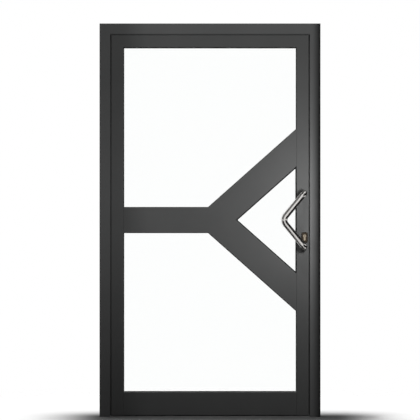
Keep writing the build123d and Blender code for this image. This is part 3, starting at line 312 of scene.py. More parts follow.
@dataclass(frozen=True)
class SatinMetal:
    """Bare metal with brushing lines or an even satin."""

    name: str
    colour: Colour
    darker: Colour
    roughness: float = 0.26
    grain: Grain = Grain.EVEN
    line_scale: float = 2600.0
    line_height: float = 0.00002
    line_strength: float = 0.3
    line_share: float = 0.35
    line_dull: float = 0.07
    smear_scale: float = 28.0
    smear_share: float = 0.5
    smear_dull: float = 0.05
    polish: float = 0.05

    def material(self) -> bpy.types.Material:
        """Build the metal.

        Returns:
            The material.
        """
        made, mix = new_recipe(self.name)
        lines = mix.noise(mix.place(self.grain.value), self.line_scale, detail=2.0, rough=0.6)
        smear = mix.spread(mix.noise(mix.place(), self.smear_scale, detail=3.0, rough=0.55), 0.32, 0.7)
        tone = mix.clamp(self.line_share * lines + self.smear_share * smear)
        dull = self.roughness - self.polish + self.line_dull * lines + self.smear_dull * smear
        mix.surface(
            {"Metallic": 1.0},
            {
                "Base Color": mix.blend(tone, self.colour, self.darker),
                "Roughness": dull,
                "Normal": mix.bump(lines, self.line_height, self.line_strength),
            },
        )
        return made


@dataclass(frozen=True)
class SoftSolid:
    """Rubber or moulded plastic: dark, fine-grained, a little dusty."""

    name: str
    colour: Colour
    dusty: Colour
    roughness: float = 0.6
    specular: float = 0.3
    grain_scale: float = 1500.0
    grain_height: float = 0.00008
    grain_strength: float = 0.3
    dust_scale: float = 17.0
    dust_dull: float = 0.14

    def material(self) -> bpy.types.Material:
        """Build the rubber or plastic.

        Returns:
            The material.
        """
        made, mix = new_recipe(self.name)
        where = mix.place()
        dust = mix.spread(mix.noise(where, self.dust_scale, detail=4.0, rough=0.65), 0.42, 0.8)
        grain = mix.noise(where, self.grain_scale, detail=1.0)
        mix.surface(
            {"Specular IOR Level": self.specular},
            {
                "Base Color": mix.blend(dust, self.colour, self.dusty),
                "Roughness": self.roughness + self.dust_dull * dust,
                "Normal": mix.bump(grain, self.grain_height, self.grain_strength),
            },
        )
        return made


@dataclass(frozen=True)
class ClearGlass:
    """Float glass: clear, with the faintest haze where it was wiped."""

    name: str
    colour: Colour
    haze: float = 0.012
    refraction: float = 1.5
    wipe_scale: float = 5.0
    wipe_stretch: Point = (1.0, 1.0, 0.35)
    wipe_turn: Point = (0.0, 0.5, 0.0)

    def material(self) -> bpy.types.Material:
        """Build the glass.

        Returns:
            The material.
        """
        made, mix = new_recipe(self.name)
        where = mix.place(self.wipe_stretch, self.wipe_turn)
        wipe = mix.spread(mix.noise(where, self.wipe_scale, detail=3.0, rough=0.6), 0.5, 0.85)
        mix.surface(
            {"Base Color": (*self.colour, 1.0), "Transmission Weight": 1.0, "IOR": self.refraction},
            {"Roughness": self.haze * wipe},
        )
        return made


class Coat(Enum):
    """Every finish on the door."""

    LEAF = PowderCoat("anthracite_leaf_coat", (0.047, 0.0475, 0.0474), (0.053, 0.0536, 0.0534))
    FRAME = PowderCoat("anthracite_frame_coat", (0.0575, 0.0582, 0.0582), (0.0645, 0.0652, 0.0652))
    HINGE = PowderCoat("anthracite_hinge_coat", (0.042, 0.043, 0.045), (0.05, 0.051, 0.053), 0.42, 0.3)
    MILL = SatinMetal("mill_aluminium", (0.6, 0.61, 0.62), (0.45, 0.46, 0.47), 0.38, Grain.ALONG_X)
    SILL = PowderCoat("anthracite_sill_coat", (0.06, 0.0605, 0.0605), (0.08, 0.0805, 0.0805), 0.55, 0.1)
    SPACER = SatinMetal("dark_anodised_spacer", (0.16, 0.16, 0.165), (0.1, 0.1, 0.105), 0.4)
    HANDLE = SatinMetal("satin_stainless_tube", (0.72, 0.7, 0.68), (0.58, 0.56, 0.54), 0.16)
    FURNITURE = SatinMetal("satin_stainless_fittings", (0.64, 0.63, 0.62), (0.5, 0.49, 0.48), 0.26)
    PLATE = SatinMetal("bronze_toned_plate", (0.075, 0.06, 0.045), (0.04, 0.032, 0.025), 0.34)
    LOCK = SatinMetal("plain_lock_steel", (0.55, 0.55, 0.54), (0.4, 0.4, 0.39), 0.32, Grain.ALONG_Z)
    NICKEL = SatinMetal("satin_nickel_brass", (0.42, 0.36, 0.28), (0.3, 0.25, 0.19), 0.26)
    POLYAMIDE = SoftSolid("black_polyamide", (0.014, 0.014, 0.014), (0.03, 0.03, 0.03), 0.5)
    RUBBER = SoftSolid("black_rubber", (0.003, 0.003, 0.0032), (0.007, 0.007, 0.0074), 0.62, 0.06)
    LIP = SoftSolid("grey_weather_rubber", (0.043, 0.0435, 0.0435), (0.05, 0.0505, 0.0505), 0.6, 0.1)
    BLOCK = SoftSolid("black_setting_block", (0.02, 0.02, 0.021), (0.035, 0.035, 0.036), 0.5)
    BUSH = SoftSolid("natural_bush", (0.58, 0.57, 0.53), (0.48, 0.47, 0.43), 0.45)
    PILE = SoftSolid("grey_brush_pile", (0.05, 0.05, 0.052), (0.11, 0.11, 0.112), 0.8, 0.1, 3200.0)
    GLASS = ClearGlass("clear_float_glass", (0.99, 0.995, 0.993))


FIELDS = ("upper", "lower", "side")
HEIGHTS = ("bottom", "middle", "top")
DRESSING: dict[Coat, tuple[str, ...]] = {
    Coat.FRAME: ("left_jamb", "right_jamb", "head"),
    Coat.LEAF: (
        "hinge_stile", "lock_stile", "top_rail", "bottom_rail", "transom", "upper_brace", "lower_brace",
        *(field + "_beads" for field in FIELDS),
    ),
    Coat.HINGE: tuple(f"{height}_hinge_{side}_wing" for height in HEIGHTS for side in ("frame", "leaf")),
    Coat.MILL: ("frame_corner_cleats", "leaf_corner_cleats", "bar_connectors"),
    Coat.SILL: ("threshold",),
    Coat.SPACER: tuple(field + "_spacer" for field in FIELDS),
    Coat.HANDLE: ("pull_handle",),
    Coat.FURNITURE: ("inside_knob", "knob_rose", "inner_cylinder_plate", "thumb_turn"),
    Coat.PLATE: ("outer_cylinder_plate",),
    Coat.LOCK: (
        "strike_plate", "lock_case", "lock_faceplate", "cylinder_screw", "knob_spindle", "lock_follower",
        "latch_bolt", "deadbolt", "pull_handle_fixings", "hinge_pins",
    ),
    Coat.NICKEL: ("cylinder_body", "cylinder_plug", "cylinder_cam"),
    Coat.POLYAMIDE: ("frame_thermal_bars", "leaf_thermal_bars"),
    Coat.RUBBER: ("frame_gasket", "leaf_gasket", "outer_glass_seals", "inner_glass_seals"),
    Coat.BLOCK: ("setting_blocks",),
    Coat.BUSH: ("hinge_bushes",),
    Coat.PILE: ("brush_seal",),
    Coat.GLASS: tuple(f"{field}_{side}_pane" for field in FIELDS for side in ("outer", "inner")),
}


class Wardrobe:
    """Makes each finish once and hands it out."""

    def __init__(self) -> None:
        """Start with no finish made."""
        self._made: dict[Coat, bpy.types.Material] = {}

    def get(self, coat: Coat) -> bpy.types.Material:
        """Hand out a finish.

        Args:
            coat: The finish.

        Returns:
            Its material.
        """
        if coat not in self._made:
            self._made[coat] = coat.value.material()
        return self._made[coat]

    def dress(self, node: bpy.types.Object, coat: Coat) -> None:
        """Give a carried-over solid its finish."""
        node.data.materials.clear()
        node.data.materials.append(self.get(coat))


def finish_piece(
    mesh: bmesh.types.BMesh, name: str, body: str, material: bpy.types.Material
) -> bpy.types.Object:
    """Turn a bmesh into a piece that rides on a body.

    Args:
        mesh: The shape, in place.
        name: The piece's name.
        body: The body that it moves with.
        material: Its material.

    Returns:
        The piece.
    """
    data = bpy.data.meshes.new(name)
    for face in mesh.faces:
        face.smooth = True
    for edge in mesh.edges:
        edge.smooth = len(edge.link_faces) == 2 and edge.calc_face_angle(0.0) < HARD_EDGE
    mesh.to_mesh(data)
    mesh.free()
    data.materials.append(material)
    piece = bpy.data.objects.new(name, data)
    bpy.context.scene.collection.objects.link(piece)
    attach(piece, body)
    LOG.info("%s rides on %s", name, body)
    return piece


def round_edges(mesh: bmesh.types.BMesh, edges: list[bmesh.types.BMEdge], radius: float) -> None:
    """Round some edges of a shape.

    Args:
        mesh: The shape.
        edges: The edges.
        radius: How far the rounding reaches.
    """
    bmesh.ops.bevel(
        mesh, geom=edges, offset=radius, offset_type="OFFSET", segments=2, profile=0.5,
        affect="EDGES", material=-1,
    )


def facing(centre: Iterable[float], out: Iterable[float], turn: float = 0.0) -> Matrix:
    """A placing whose own Z points out of a surface.

    Args:
        centre: The point on the surface.
        out: The way out of it.
        turn: Turn about that way, in radians.

    Returns:
        The placing.
    """
    tilt = Vector(out).to_track_quat("Z", "Y").to_matrix().to_4x4()
    return Matrix.Translation(Vector(centre)) @ tilt @ Matrix.Rotation(turn, 4, "Z")


@dataclass
class ScrewRow:
    """Screws of one kind, each with a star recess in its head; shares are of the head's radius."""

    name: str
    body: str
    places: list[tuple[Point, Point]]
    radius: float
    stand: float
    sides: int = 24
    taper: float = 0.94
    rim_share: float = 0.14
    rim_rise: float = 0.35
    land_share: float = 0.3
    star_share: float = 0.78
    socket_draft: float = 0.03
    socket_depth: float = 0.4
    turn_step: float = 0.7

    def build(self, material: bpy.types.Material) -> None:
        """Make the row's heads.

        Args:
            material: The screws' finish.
        """
        mesh = bmesh.new()
        for i, (centre, out) in enumerate(self.places):
            self._head(mesh, facing(centre, out, self.turn_step * i))
        finish_piece(mesh, self.name, self.body, material)

    def _head(self, mesh: bmesh.types.BMesh, place: Matrix) -> None:
        """Add one head: a low dome with a star socket.

        Args:
            mesh: The row's shape.
            place: The placing on the surface.
        """
        made = bmesh.ops.create_cone(
            mesh, cap_ends=True, cap_tris=False, segments=self.sides, radius1=self.radius,
            radius2=self.radius * self.taper, depth=self.stand * 2, matrix=place,
        )
        up = (place.to_3x3() @ Vector((0, 0, 1))).normalized()
        faces = {face for vert in made["verts"] for face in vert.link_faces}
        crown = max(faces, key=lambda face: face.calc_center_median().dot(up))
        rim = {"thickness": self.radius * self.rim_share, "depth": self.stand * self.rim_rise}
        bmesh.ops.inset_region(mesh, faces=[crown], **rim)
        bmesh.ops.inset_region(mesh, faces=[crown], thickness=self.radius * self.land_share)
        middle = crown.calc_center_median()
        for i, vert in enumerate(crown.verts):
            if (i // 2) % 2:
                vert.co = middle.lerp(vert.co, self.star_share)
        socket = {"thickness": self.radius * self.socket_draft, "depth": -self.radius * self.socket_depth}
        bmesh.ops.inset_region(mesh, faces=[crown], **socket)


@dataclass
class HingeScrews:
    """The screws that hold the six hinge wings."""

    inset: float = 0.013
    end: float = 0.014
    wing: float = 0.005
    radius: float = 0.0045
    stand: float = 0.0007

    def build(self, wardrobe: Wardrobe) -> None:
        """Place three screws on the plate of each wing.

        Args:
            wardrobe: The finishes.
        """
        for body, side in (("frame", -1.0), ("leaf", 1.0)):
            places = []
            for height in HEIGHTS:
                low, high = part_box(f"{height}_hinge_{body}_wing")
                x = (low.x if side < 0 else high.x) - side * self.inset
                plate = low.y + self.wing
                for z in (low.z + self.end, (low.z + high.z) / 2, high.z - self.end):
                    places.append(((x, plate, z), (0.0, 1.0, 0.0)))
            row = ScrewRow(f"{body}_hinge_screws", body, places, self.radius, self.stand)
            row.build(wardrobe.get(Coat.LOCK))


@dataclass
class LockScrews:
    """The screws of the faceplate, the strike plate, the sill and the pull handle."""

    plate_end: float = 0.0075
    strike_end: float = 0.009
    plate_radius: float = 0.004
    plate_stand: float = 0.0003
    sill_share: float = 0.72
    sill_line: float = 0.015
    sill_radius: float = 0.0033
    sill_stand: float = 0.0002
    tube_radius: float = 0.016
    grub_out: float = 0.0055
    grub_sink: float = 0.0001
    grub_radius: float = 0.0022
    grub_stand: float = 0.0004
    grub_sides: int = 18

    def build(self, wardrobe: Wardrobe) -> None:
        """Place each row where its plate is.

        Args:
            wardrobe: The finishes.
        """
        low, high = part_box("lock_faceplate")
        line = (low.y + high.y) / 2
        for row in (self._faceplate(low, high, line), self._strike(line), self._sill(), self._grubs()):
            row.build(wardrobe.get(Coat.LOCK))

    def _faceplate(self, low: Vector, high: Vector, line: float) -> ScrewRow:
        """One screw at each end of the faceplate.

        Args:
            low: The faceplate's lowest corner.
            high: The faceplate's highest corner.
            line: Y of the screws.

        Returns:
            The row.
        """
        ends = (low.z + self.plate_end, high.z - self.plate_end)
        places = [((high.x, line, z), (1.0, 0.0, 0.0)) for z in ends]
        return ScrewRow("faceplate_screws", "leaf", places, self.plate_radius, self.plate_stand)

    def _strike(self, line: float) -> ScrewRow:
        """One screw at each end of the strike plate, in line with the faceplate.

        Args:
            line: Y of the screws.

        Returns:
            The row.
        """
        low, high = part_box("strike_plate")
        ends = (low.z + self.strike_end, high.z - self.strike_end)
        places = [((low.x, line, z), (-1.0, 0.0, 0.0)) for z in ends]
        return ScrewRow("strike_screws", "frame", places, self.plate_radius, self.plate_stand)

    def _sill(self) -> ScrewRow:
        """Three pairs of screws along the sill.

        Returns:
            The row.
        """
        low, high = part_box("threshold")
        places = [
            ((x, side * self.sill_line, high.z), (0.0, 0.0, 1.0))
            for x in (low.x * self.sill_share, 0.0, high.x * self.sill_share)
            for side in (-1.0, 1.0)
        ]
        return ScrewRow("sill_screws", "frame", places, self.sill_radius, self.sill_stand)

    def _grubs(self) -> ScrewRow:
        """A grub screw under each end of the pull handle.

        Returns:
            The row.
        """
        low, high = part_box("pull_handle")
        post = high.x - self.tube_radius
        bottoms = (low.z, high.z - 2 * self.tube_radius)
        y = high.y - self.grub_out
        places = [((post, y, z + self.grub_sink), (0.0, 0.0, -1.0)) for z in bottoms]
        size = (self.grub_radius, self.grub_stand, self.grub_sides)
        return ScrewRow("handle_grub_screws", "leaf", places, *size)


@dataclass
class BrushSeal:
    """The draught brush under the leaf: a carrier and rows of leaning tufts."""

    carrier_tall: float = 0.0055
    carrier_edge: float = 0.0004
    carrier_sharp: float = 1.0
    lip: float = 0.0022
    groove: float = 0.0018
    groove_draft: float = 0.0002
    grip: float = 0.0008
    tufts: int = 26
    rows: int = 3
    repeats: int = 20
    tuft_radius: float = 0.0007
    tuft_tip: Pair = (0.6, 0.9)
    tuft_sides: int = 5
    tuft_share: float = 0.96
    hang_share: float = 0.98
    row_gap: float = 0.0013
    lean: float = 0.16
    seed: int = 11

    def build(self, wardrobe: Wardrobe) -> None:
        """Replace the plain solid with a carrier and a pile.

        Args:
            wardrobe: The finishes.
        """
        low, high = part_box("brush_seal")
        skirt = high.z - self.carrier_tall
        carrier = self._carrier(low, high, skirt, wardrobe.get(Coat.MILL))
        pile = self._pile(low, high, skirt + self.grip, wardrobe.get(Coat.PILE))
        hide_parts("brush_seal")
        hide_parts("brush_seal")

    def _carrier(
        self, low: Vector, high: Vector, skirt: float, material: bpy.types.Material
    ) -> bpy.types.Object:
        """A channel that grips the pile: a block with a groove pressed up into it.

        Args:
            low: The seal's lowest corner.
            high: The seal's highest corner.
            skirt: Z of the carrier's underside.
            material: Its finish.

        Returns:
            The piece.
        """
        mesh = bmesh.new()
        size = Matrix.Diagonal((high.x - low.x, high.y - low.y, high.z - skirt, 1.0))
        centre = Matrix.Translation(((low.x + high.x) / 2, (low.y + high.y) / 2, (high.z + skirt) / 2))
        bmesh.ops.create_cube(mesh, size=1.0, matrix=centre @ size)
        under = min(mesh.faces, key=lambda face: face.calc_center_median().z)
        bmesh.ops.inset_region(mesh, faces=[under], thickness=self.lip)
        bmesh.ops.inset_region(mesh, faces=[under], thickness=self.groove_draft, depth=-self.groove)
        sharp = [edge for edge in mesh.edges if edge.calc_face_angle(0.0) > self.carrier_sharp]
        round_edges(mesh, sharp, self.carrier_edge)
        return finish_piece(mesh, "brush_carrier", "leaf", material)

    def _pile(
        self, low: Vector, high: Vector, top: float, material: bpy.types.Material
    ) -> bpy.types.Object:
        """One stretch of tufts, repeated along the rail.

        Args:
            low: The seal's lowest corner.
            high: The seal's highest corner.
            top: Z of the tufts' roots.
            material: Their finish.

        Returns:
            The piece.
        """
        draw = random.Random(self.seed)
        mesh = bmesh.new()
        middle = (low.y + high.y) / 2
        stretch = (high.x - low.x) / self.repeats
        pitch = stretch / self.tufts
        tall = top - low.z
        for i in range(self.tufts):
            for row in range(self.rows):
                foot = (low.x + pitch * (i + 0.5), middle + (row - 1) * self.row_gap, low.z)
                self._tuft(mesh, draw, foot, tall)
        pile = finish_piece(mesh, "brush_pile", "leaf", material)
        array = pile.modifiers.new("along_the_rail", "ARRAY")
        array.use_relative_offset = False
        array.use_constant_offset = True
        array.constant_offset_displace = (stretch, 0.0, 0.0)
        array.count = self.repeats
        return pile

    def _tuft(self, mesh: bmesh.types.BMesh, draw: random.Random, foot: Point, tall: float) -> None:
        """One tapering tuft that leans a little.

        Args:
            mesh: The pile's shape.
            draw: The source of chance.
            foot: The point on the floor under the tuft.
            tall: Height of the tuft's root over the floor.
        """
        turn = Matrix.Rotation(draw.uniform(0.0, math.tau), 4, "Z")
        lean = Matrix.Rotation(draw.uniform(-self.lean, self.lean), 4, "X")
        sway = Matrix.Rotation(draw.uniform(-self.lean, self.lean), 4, "Y")
        root = Matrix.Translation((foot[0], foot[1], foot[2] + tall))
        hang = Matrix.Translation((0.0, 0.0, -tall / 2 * self.hang_share))
        bmesh.ops.create_cone(
            mesh, cap_ends=True, segments=self.tuft_sides,
            radius1=self.tuft_radius * draw.uniform(*self.tuft_tip), radius2=self.tuft_radius,
            depth=tall * self.tuft_share, matrix=root @ lean @ sway @ hang @ turn,
        )


@dataclass
class SealFinWithPaintedShade:
    """The soft fin of the side field's outer seal: a thin rubber ring that lies on the glass; its black
    is partly the real seal and partly a painted shade along the edges of the side field.
    """

    pane: str = "side_outer_pane"
    pane_cover: float = 0.012
    root: float = 0.002
    width: float = 0.0036
    root_height: float = 0.0012
    tip_height: float = 0.0005
    lift: float = 0.00005
    weld: float = 0.00001
    flat: float = 1.0

    def build(self, wardrobe: Wardrobe, pane: bpy.types.Object) -> None:
        """Cut the ring out of the pane's outline and raise it off the glass.

        Args:
            wardrobe: The finishes.
            pane: The pane that the fin lies on.
        """
        mesh = bmesh.new()
        mesh.from_mesh(pane.data)
        bmesh.ops.remove_doubles(mesh, verts=mesh.verts, dist=self.weld)
        level = math.radians(self.flat)
        bmesh.ops.dissolve_limit(mesh, angle_limit=level, verts=mesh.verts, edges=mesh.edges)
        outside = min(mesh.faces, key=lambda face: face.calc_center_median().y)
        even = {"faces": [outside], "use_even_offset": True}
        bmesh.ops.inset_region(mesh, thickness=self.pane_cover + self.root, **even)
        ring = bmesh.ops.inset_region(mesh, thickness=self.width, **even)["faces"]
        tips = {vert.co.to_tuple(6) for vert in outside.verts}
        rest = [face for face in mesh.faces if face not in ring]
        bmesh.ops.delete(mesh, geom=rest, context="FACES")
        raised = bmesh.ops.extrude_face_region(mesh, geom=ring, use_keep_orig=True)["geom"]
        for vert in (part for part in raised if isinstance(part, bmesh.types.BMVert)):
            tip = vert.co.to_tuple(6) in tips
            vert.co.y -= self.tip_height if tip else self.root_height
        bmesh.ops.translate(mesh, verts=mesh.verts, vec=(0.0, -self.lift, 0.0))
        bmesh.ops.recalc_face_normals(mesh, faces=mesh.faces)
        # The fin's black rubber is partly the real seal and partly a painted shade along the side field's
        # edges.
        finish_piece(mesh, "side_seal_fin_painted_shade", "leaf", wardrobe.get(Coat.RUBBER))


@dataclass
class HeadLip:
    """The weather lip under the head: a flat rubber root and a thin lip that half covers the joint."""

    frame_face: float = 0.057
    setback: float = 0.001
    drop: float = 0.0034
    lean: float = 0.0003
    tip: float = 0.0008
    web: float = 0.0016
    root: float = 0.006
    root_height: float = 0.0009
    end_gap: float = 0.0005
    edge: float = 0.0002

    def build(self, wardrobe: Wardrobe) -> None:
        """Draw the section at the left end and extrude it along the head.

        Args:
            wardrobe: The finishes.
        """
        low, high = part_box("head")
        left = low.x + self.frame_face + self.end_gap
        right = high.x - self.frame_face - self.end_gap
        front = low.y + self.setback
        top = high.z - self.frame_face
        heel = front + self.lean
        section = (
            (heel, top),
            (heel + self.root, top),
            (heel + self.root, top - self.root_height),
            (heel + self.web, top - self.root_height),
            (front + self.tip, top - self.drop),
            (front, top - self.drop),
        )
        mesh = bmesh.new()
        profile = mesh.faces.new([mesh.verts.new((left, y, z)) for y, z in section])
        swept = bmesh.ops.extrude_face_region(mesh, geom=[profile], use_keep_orig=True)["geom"]
        end = [part for part in swept if isinstance(part, bmesh.types.BMVert)]
        bmesh.ops.translate(mesh, verts=end, vec=(right - left, 0.0, 0.0))
        bmesh.ops.recalc_face_normals(mesh, faces=mesh.faces)
        round_edges(mesh, mesh.edges[:], self.edge)
        finish_piece(mesh, "head_weather_lip", "frame", wardrobe.get(Coat.LIP))


def hide_from(thing: bpy.types.Object, *rays: str) -> None:
    """Keep a thing of the studio out of some kinds of rays."""
    for ray in rays:
        setattr(thing, f"visible_{ray}", False)


@dataclass
class Lamp:
    """A soft round or square studio lamp."""

    name: str
    place: Point
    aim: Point
    power: float
    wide: float
    disc: bool = True

    def build(self) -> bpy.types.Object:
        """Hang the lamp.

        Returns:
            The lamp.
        """
        data = bpy.data.lights.new(self.name, "AREA")
        data.shape = "DISK" if self.disc else "SQUARE"
        data.size = self.wide
        data.energy = self.power
        lamp = bpy.data.objects.new(self.name, data)
        lamp.location = self.place
        aim = Vector(self.aim) - Vector(self.place)
        lamp.rotation_euler = aim.to_track_quat("-Z", "Y").to_euler()
        hide_from(lamp, "camera", "glossy", "transmission")
        bpy.context.scene.collection.objects.link(lamp)
        return lamp


def stage_mesh(mesh: bmesh.types.BMesh, name: str, material: bpy.types.Material) -> bpy.types.Object:
    """Put a bmesh in the scene as part of the studio.

    Args:
        mesh: The shape, in place.
        name: The object's name.
        material: Its material.

    Returns:
        The object.
    """
    data = bpy.data.meshes.new(name)
    mesh.to_mesh(data)
    mesh.free()
    data.materials.append(material)
    made = bpy.data.objects.new(name, data)
    bpy.context.scene.collection.objects.link(made)
    return made


@dataclass
class Card:
    """A flat studio card that shows only as a reflection, black or with a faint glow."""

    name: str
    x: Pair
    y: Pair
    z: Pair
    glow: float = 0.0
    black: Colour = (0.01, 0.01, 0.01)
    roughness: float = 0.9

    def build(self) -> None:
        """Stand the card up where only reflections show it."""
        mesh = bmesh.new()
        sides = (self.x, self.y, self.z)
        middle = Matrix.Translation([(low + high) / 2 for low, high in sides])
        size = Matrix.Diagonal([high - low for low, high in sides] + [1.0])
        bmesh.ops.create_cube(mesh, size=1.0, matrix=middle @ size)
        cloth, mix = new_recipe(self.name + "_cloth")
        if self.glow:
            lit = mix.node("ShaderNodeEmission", {}, {"Color": WHITE, "Strength": self.glow})
            mix.end("ShaderNodeOutputMaterial", lit)
        else:
            matt = {"Roughness": self.roughness, "Specular IOR Level": 0.0}
            mix.surface({"Base Color": (*self.black, 1.0), **matt}, {})
        card = stage_mesh(mesh, self.name, cloth)
        hide_from(card, "camera", "transmission", "diffuse", "shadow")


@dataclass
class Net:
    """A lighting net in front of the door: it dims the lamps, from clear to its full density across X."""

    name: str
    reach: Pair
    y: float
    ramp: Pair
    density: float
    top: float = 2.4

    def build(self) -> None:
        """Stretch the net where only shadows show it."""
        mesh = bmesh.new()
        left, right = self.reach
        place = Matrix.Translation(((left + right) / 2, self.y, self.top / 2))
        size = Matrix.Diagonal((right - left, self.top, 1.0, 1.0))
        upright = Matrix.Rotation(math.pi / 2, 4, "X") @ size
        bmesh.ops.create_grid(mesh, x_segments=1, y_segments=1, size=0.5, matrix=place @ upright)
        cloth, mix = new_recipe(self.name + "_cloth")
        x = mix.axis(mix.place(), "X")
        clear, dense = self.ramp
        share = mix.node("ShaderNodeMapRange", {}, {"Value": x, "From Min": clear, "From Max": dense})
        dark = mix.node("ShaderNodeBsdfDiffuse", {}, {"Color": (0.0, 0.0, 0.0, 1.0)})
        through = mix.node("ShaderNodeBsdfTransparent", {}, {})
        weave = mix.node("ShaderNodeMixShader", {}, {0: self.density * share, 1: through, 2: dark})
        mix.end("ShaderNodeOutputMaterial", weave)
        net = stage_mesh(mesh, self.name, cloth)
        hide_from(net, "camera", "transmission", "diffuse", "glossy")


@dataclass
class Floor:
    """A round pale floor that fades into the background, keeps the door's real shadow and has a soft
    shadow painted along the foot of the door.
    """

    reach: float = 6.0
    sides: int = 96
    below: float = 0.0005
    pale: Colour = (0.15, 0.15, 0.15)
    mottle: float = 0.1
    mottle_scale: float = 3.0
    mottle_share: float = 0.9
    shown: float = 1.0
    fade: Pair = (0.9, 2.0)
    # Where and how dark the shadow painted along the foot of the door is.
    painted_shadow_middle: Pair = (0.054, -0.1)
    painted_shadow_half: Pair = (0.605, 0.068)
    painted_shadow_reach: Pair = (0.238, 0.24)
    painted_shadow_depth: float = 0.9

    def build(self) -> bpy.types.Object:
        """Lay the floor.

        Returns:
            The floor.
        """
        mesh = bmesh.new()
        sunk = Matrix.Translation((0.0, 0.0, -self.below))
        bmesh.ops.create_circle(mesh, cap_ends=True, segments=self.sides, radius=self.reach, matrix=sunk)
        return stage_mesh(mesh, "floor", self._material())

    @staticmethod
    def keep_off(floor: bpy.types.Object, lamps: Iterable[bpy.types.Object]) -> None:
        """Keep the door's own lamps off the floor, so that it is lit evenly from overhead.

        Args:
            floor: The floor.
            lamps: The lamps that light only the door.
        """
        spared = bpy.data.collections.new("lit_from_overhead")
        spared.objects.link(floor)
        spared.collection_objects[0].light_linking.link_state = "EXCLUDE"
        for lamp in lamps:
            lamp.light_linking.receiver_collection = spared

    def _material(self) -> bpy.types.Material:
        """Pale cloth, brighter to the eye than as a bounce, with a painted shadow along the foot of the
        door.

        Returns:
            The material.
        """
        made, mix = new_recipe("pale_floor")
        seen = seen_by_eye(mix)
        spot = mix.place()
        mottle = mix.noise(spot, self.mottle_scale, detail=3.0)
        dim = tuple(self.mottle_share * share for share in self.pale)
        dull = mix.blend(self.mottle * mottle, self.pale, dim)
        # To the eye the floor goes from its lit colour to dark, the colour of the painted shadow along
        # the foot of the door.
        light = (self.shown,) * 3
        dark = (self.shown * (1.0 - self.painted_shadow_depth),) * 3
        shown_with_painted_shadow = mix.blend(self._painted_shadow(mix, spot), light, dark)
        cloth = mix.node("ShaderNodeBsdfDiffuse", {}, {"Color": mix.blend(seen, dull, shown_with_painted_shadow)})
        clear = mix.node("ShaderNodeBsdfTransparent", {}, {})
        away = mix.node("ShaderNodeVectorMath", {"operation": "LENGTH"}, {0: spot}, "Value")
        fade = mix.spread(away, *self.fade)
        ground = mix.node("ShaderNodeMixShader", {}, {0: fade, 1: cloth, 2: clear})
        mix.end("ShaderNodeOutputMaterial", ground)
        return made

    def _painted_shadow(self, mix: Recipe, spot: Shade) -> Shade:
        """The painted soft shadow at the foot of the door.

        Args:
            mix: The floor's recipe.
            spot: The coordinates on the floor.

        Returns:
            1 under the door, falling to 0 around it.
        """
        squares = []
        for axis, middle, half, reach in zip("XY", self.painted_shadow_middle, self.painted_shadow_half, self.painted_shadow_reach):
            past = mix.size(mix.axis(spot, axis) - middle) - half
            past = mix.math("MAXIMUM", past, 0.0) * (1.0 / reach)
            squares.append(past * past)
        return mix.math("POWER", math.e, (squares[0] + squares[1]) * -1.0)


def seen_by_eye(mix: Recipe) -> Shade:
    """Tell the rays that show a thing to the camera, straight, through glass or in a reflection.

    Args:
        mix: The recipe that asks.

    Returns:
        1 for those rays and 0 for the rest.
    """
    kinds = ("Is Camera Ray", "Is Transmission Ray", "Is Glossy Ray")
    rays = [mix.node("ShaderNodeLightPath", {}, {}, kind) for kind in kinds]
    return mix.clamp(rays[0] + rays[1] + rays[2])


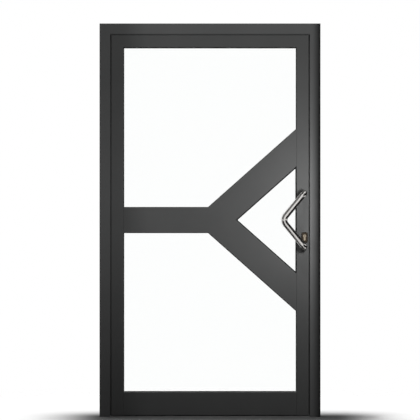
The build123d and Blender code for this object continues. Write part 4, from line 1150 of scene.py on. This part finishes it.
@dataclass
class Studio:
    """Camera, lamps, cards, floor and background."""

    image: int = 420
    scale: float = 0.00534
    far: float = 12.0
    eye: float = 1.1037
    sensor: float = 36.0
    view_end: float = 100.0
    ambient_front: float = 0.02
    ambient_back: float = 0.55
    ambient_turn: Pair = (-0.15, 0.6)
    overhead: float = 2.6
    overhead_angle: float = 24.0
    overhead_height: float = 4.0

    def build(self, face: float) -> None:
        """Set up everything around the door.

        Args:
            face: Y of the door's outside face.
        """
        self._camera(face)
        lamps = self._lamps(face)
        self._world()
        self._nets(face)
        self._cards()
        floor = Floor()
        floor.keep_off(floor.build(), lamps)
        self._overhead()
        bpy.context.scene.view_settings.view_transform = "Standard"

    def _camera(self, face: float) -> None:
        """A level camera straight in front of the door.

        Args:
            face: Y of the door's outside face.
        """
        data = bpy.data.cameras.new("camera")
        data.sensor_width = self.sensor
        data.lens = self.far * self.sensor / (self.image * self.scale)
        data.clip_end = self.view_end
        camera = bpy.data.objects.new("camera", data)
        camera.location = (0.0, face - self.far, self.eye)
        camera.rotation_euler = (math.pi / 2, 0.0, 0.0)
        bpy.context.scene.collection.objects.link(camera)
        bpy.context.scene.camera = camera

    def _overhead(self) -> None:
        """An even light straight down: it gives the floor its tone and the door its shadow there."""
        data = bpy.data.lights.new("overhead_lamp", "SUN")
        data.energy = self.overhead
        data.angle = math.radians(self.overhead_angle)
        lamp = bpy.data.objects.new("overhead_lamp", data)
        lamp.location = (0.0, 0.0, self.overhead_height)
        hide_from(lamp, "glossy")
        bpy.context.scene.collection.objects.link(lamp)

    @staticmethod
    def _lamps(face: float) -> list[bpy.types.Object]:
        """A small lamp near the handle, one at the left, one high up, and light for the inside.

        Args:
            face: Y of the door's outside face.

        Returns:
            The lamps.
        """
        # Name, place as X, distance from the face and Z, power and width.
        rows = (
            ("handle_lamp", (0.679, 0.62, 1.135), 11.1, 0.2),
            ("left_lamp", (-0.502, 1.01, 1.161), 7.4, 0.4),
            ("high_lamp", (0.01, 1.855, 5.047), 330.0, 0.6),
        )
        lamps = [Lamp("inside_lamp", (-1.4, 2.4, 2.2), (0.0, 0.0, 1.1), 60.0, 1.6, disc=False)]
        for name, (x, out, z), power, wide in rows:
            lamps.append(Lamp(name, (x, face - out, z), (x, face, z), power, wide))
        return [lamp.build() for lamp in lamps]

    @staticmethod
    def _nets(face: float) -> None:
        """Nets that dim the light at both edges of the door.

        Args:
            face: Y of the door's outside face.
        """
        Net("left_net", (-0.9, -0.3), face - 0.05, (-0.333, -0.449), 0.367).build()
        Net("right_net", (0.5, 0.9), face - 0.02, (0.545, 0.584), 1.0).build()

    @staticmethod
    def _cards() -> None:
        """Cards that give the bare metal its dark sides."""
        right = (0.95, 0.952)
        # Name, reach along X, Y and Z, and glow.
        rows = (
            ("right_high", right, (-1.4, 0.6), (1.27, 1.58), 0.0),
            ("right_high_tip", right, (-1.1, -0.4), (1.58, 1.9), 0.0),
            ("right_high_bend", right, (-1.4, 0.6), (1.05, 1.27), 0.0),
            ("right_low", right, (-1.4, 0.6), (0.52, 0.83), 0.0),
            ("right_low_tip", right, (-1.1, -0.25), (0.1, 0.52), 0.0),
            ("right_low_bend", right, (-1.4, 0.6), (0.83, 0.95), 0.0),
            ("left_high", (-1.302, -1.3), (-3.5, 0.5), (1.16, 3.65), 0.2),
            ("left_low", (-0.602, -0.6), (-3.5, -0.1), (0.0, 0.97), 0.02),
            ("above", (-0.9, 0.75), (-1.3, 0.3), (2.7, 2.702), 0.04),
            ("below", (-0.6, 0.6), (-1.0, -0.1), (0.02, 0.022), 0.02),
        )
        for row in rows:
            Card(*row).build()

    def _world(self) -> None:
        """White where it is seen; as light, dim in front of the door and brighter behind it."""
        world = bpy.data.worlds.new("studio")
        bpy.context.scene.world = world
        world.use_nodes = True
        mix = Recipe(world.node_tree)
        inward = mix.axis(mix.node("ShaderNodeTexCoord", {}, {}, "Generated"), "Y")
        share = mix.spread(inward, *self.ambient_turn)
        strength = self.ambient_front + (self.ambient_back - self.ambient_front) * share
        light = mix.node("ShaderNodeBackground", {}, {"Color": WHITE, "Strength": strength})
        white = mix.node("ShaderNodeBackground", {}, {"Color": WHITE, "Strength": 1.0})
        shown = mix.node("ShaderNodeMixShader", {}, {0: seen_by_eye(mix), 1: light, 2: white})
        mix.end("ShaderNodeOutputWorld", shown)


def main() -> None:
    """Load the frame, dress it, add the small pieces and set up the studio."""
    logging.basicConfig(level=logging.INFO, format="%(message)s")
    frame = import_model()
    wardrobe = Wardrobe()
    for coat, nodes in DRESSING.items():
        for node in nodes:
            wardrobe.dress(frame["nodes"][node], coat)
        LOG.info("%s on %d solids", coat.value.name, len(nodes))
    BrushSeal().build(wardrobe)
    HingeScrews().build(wardrobe)
    LockScrews().build(wardrobe)
    HeadLip().build(wardrobe)
    # The side field's seal fin, widened so that its black also paints the shade along the field's edges.
    fin = SealFinWithPaintedShade()
    fin.build(wardrobe, frame["nodes"][fin.pane])
    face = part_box("left_jamb")[0].y
    Studio().build(face)


if __name__ == "__main__":
    main()
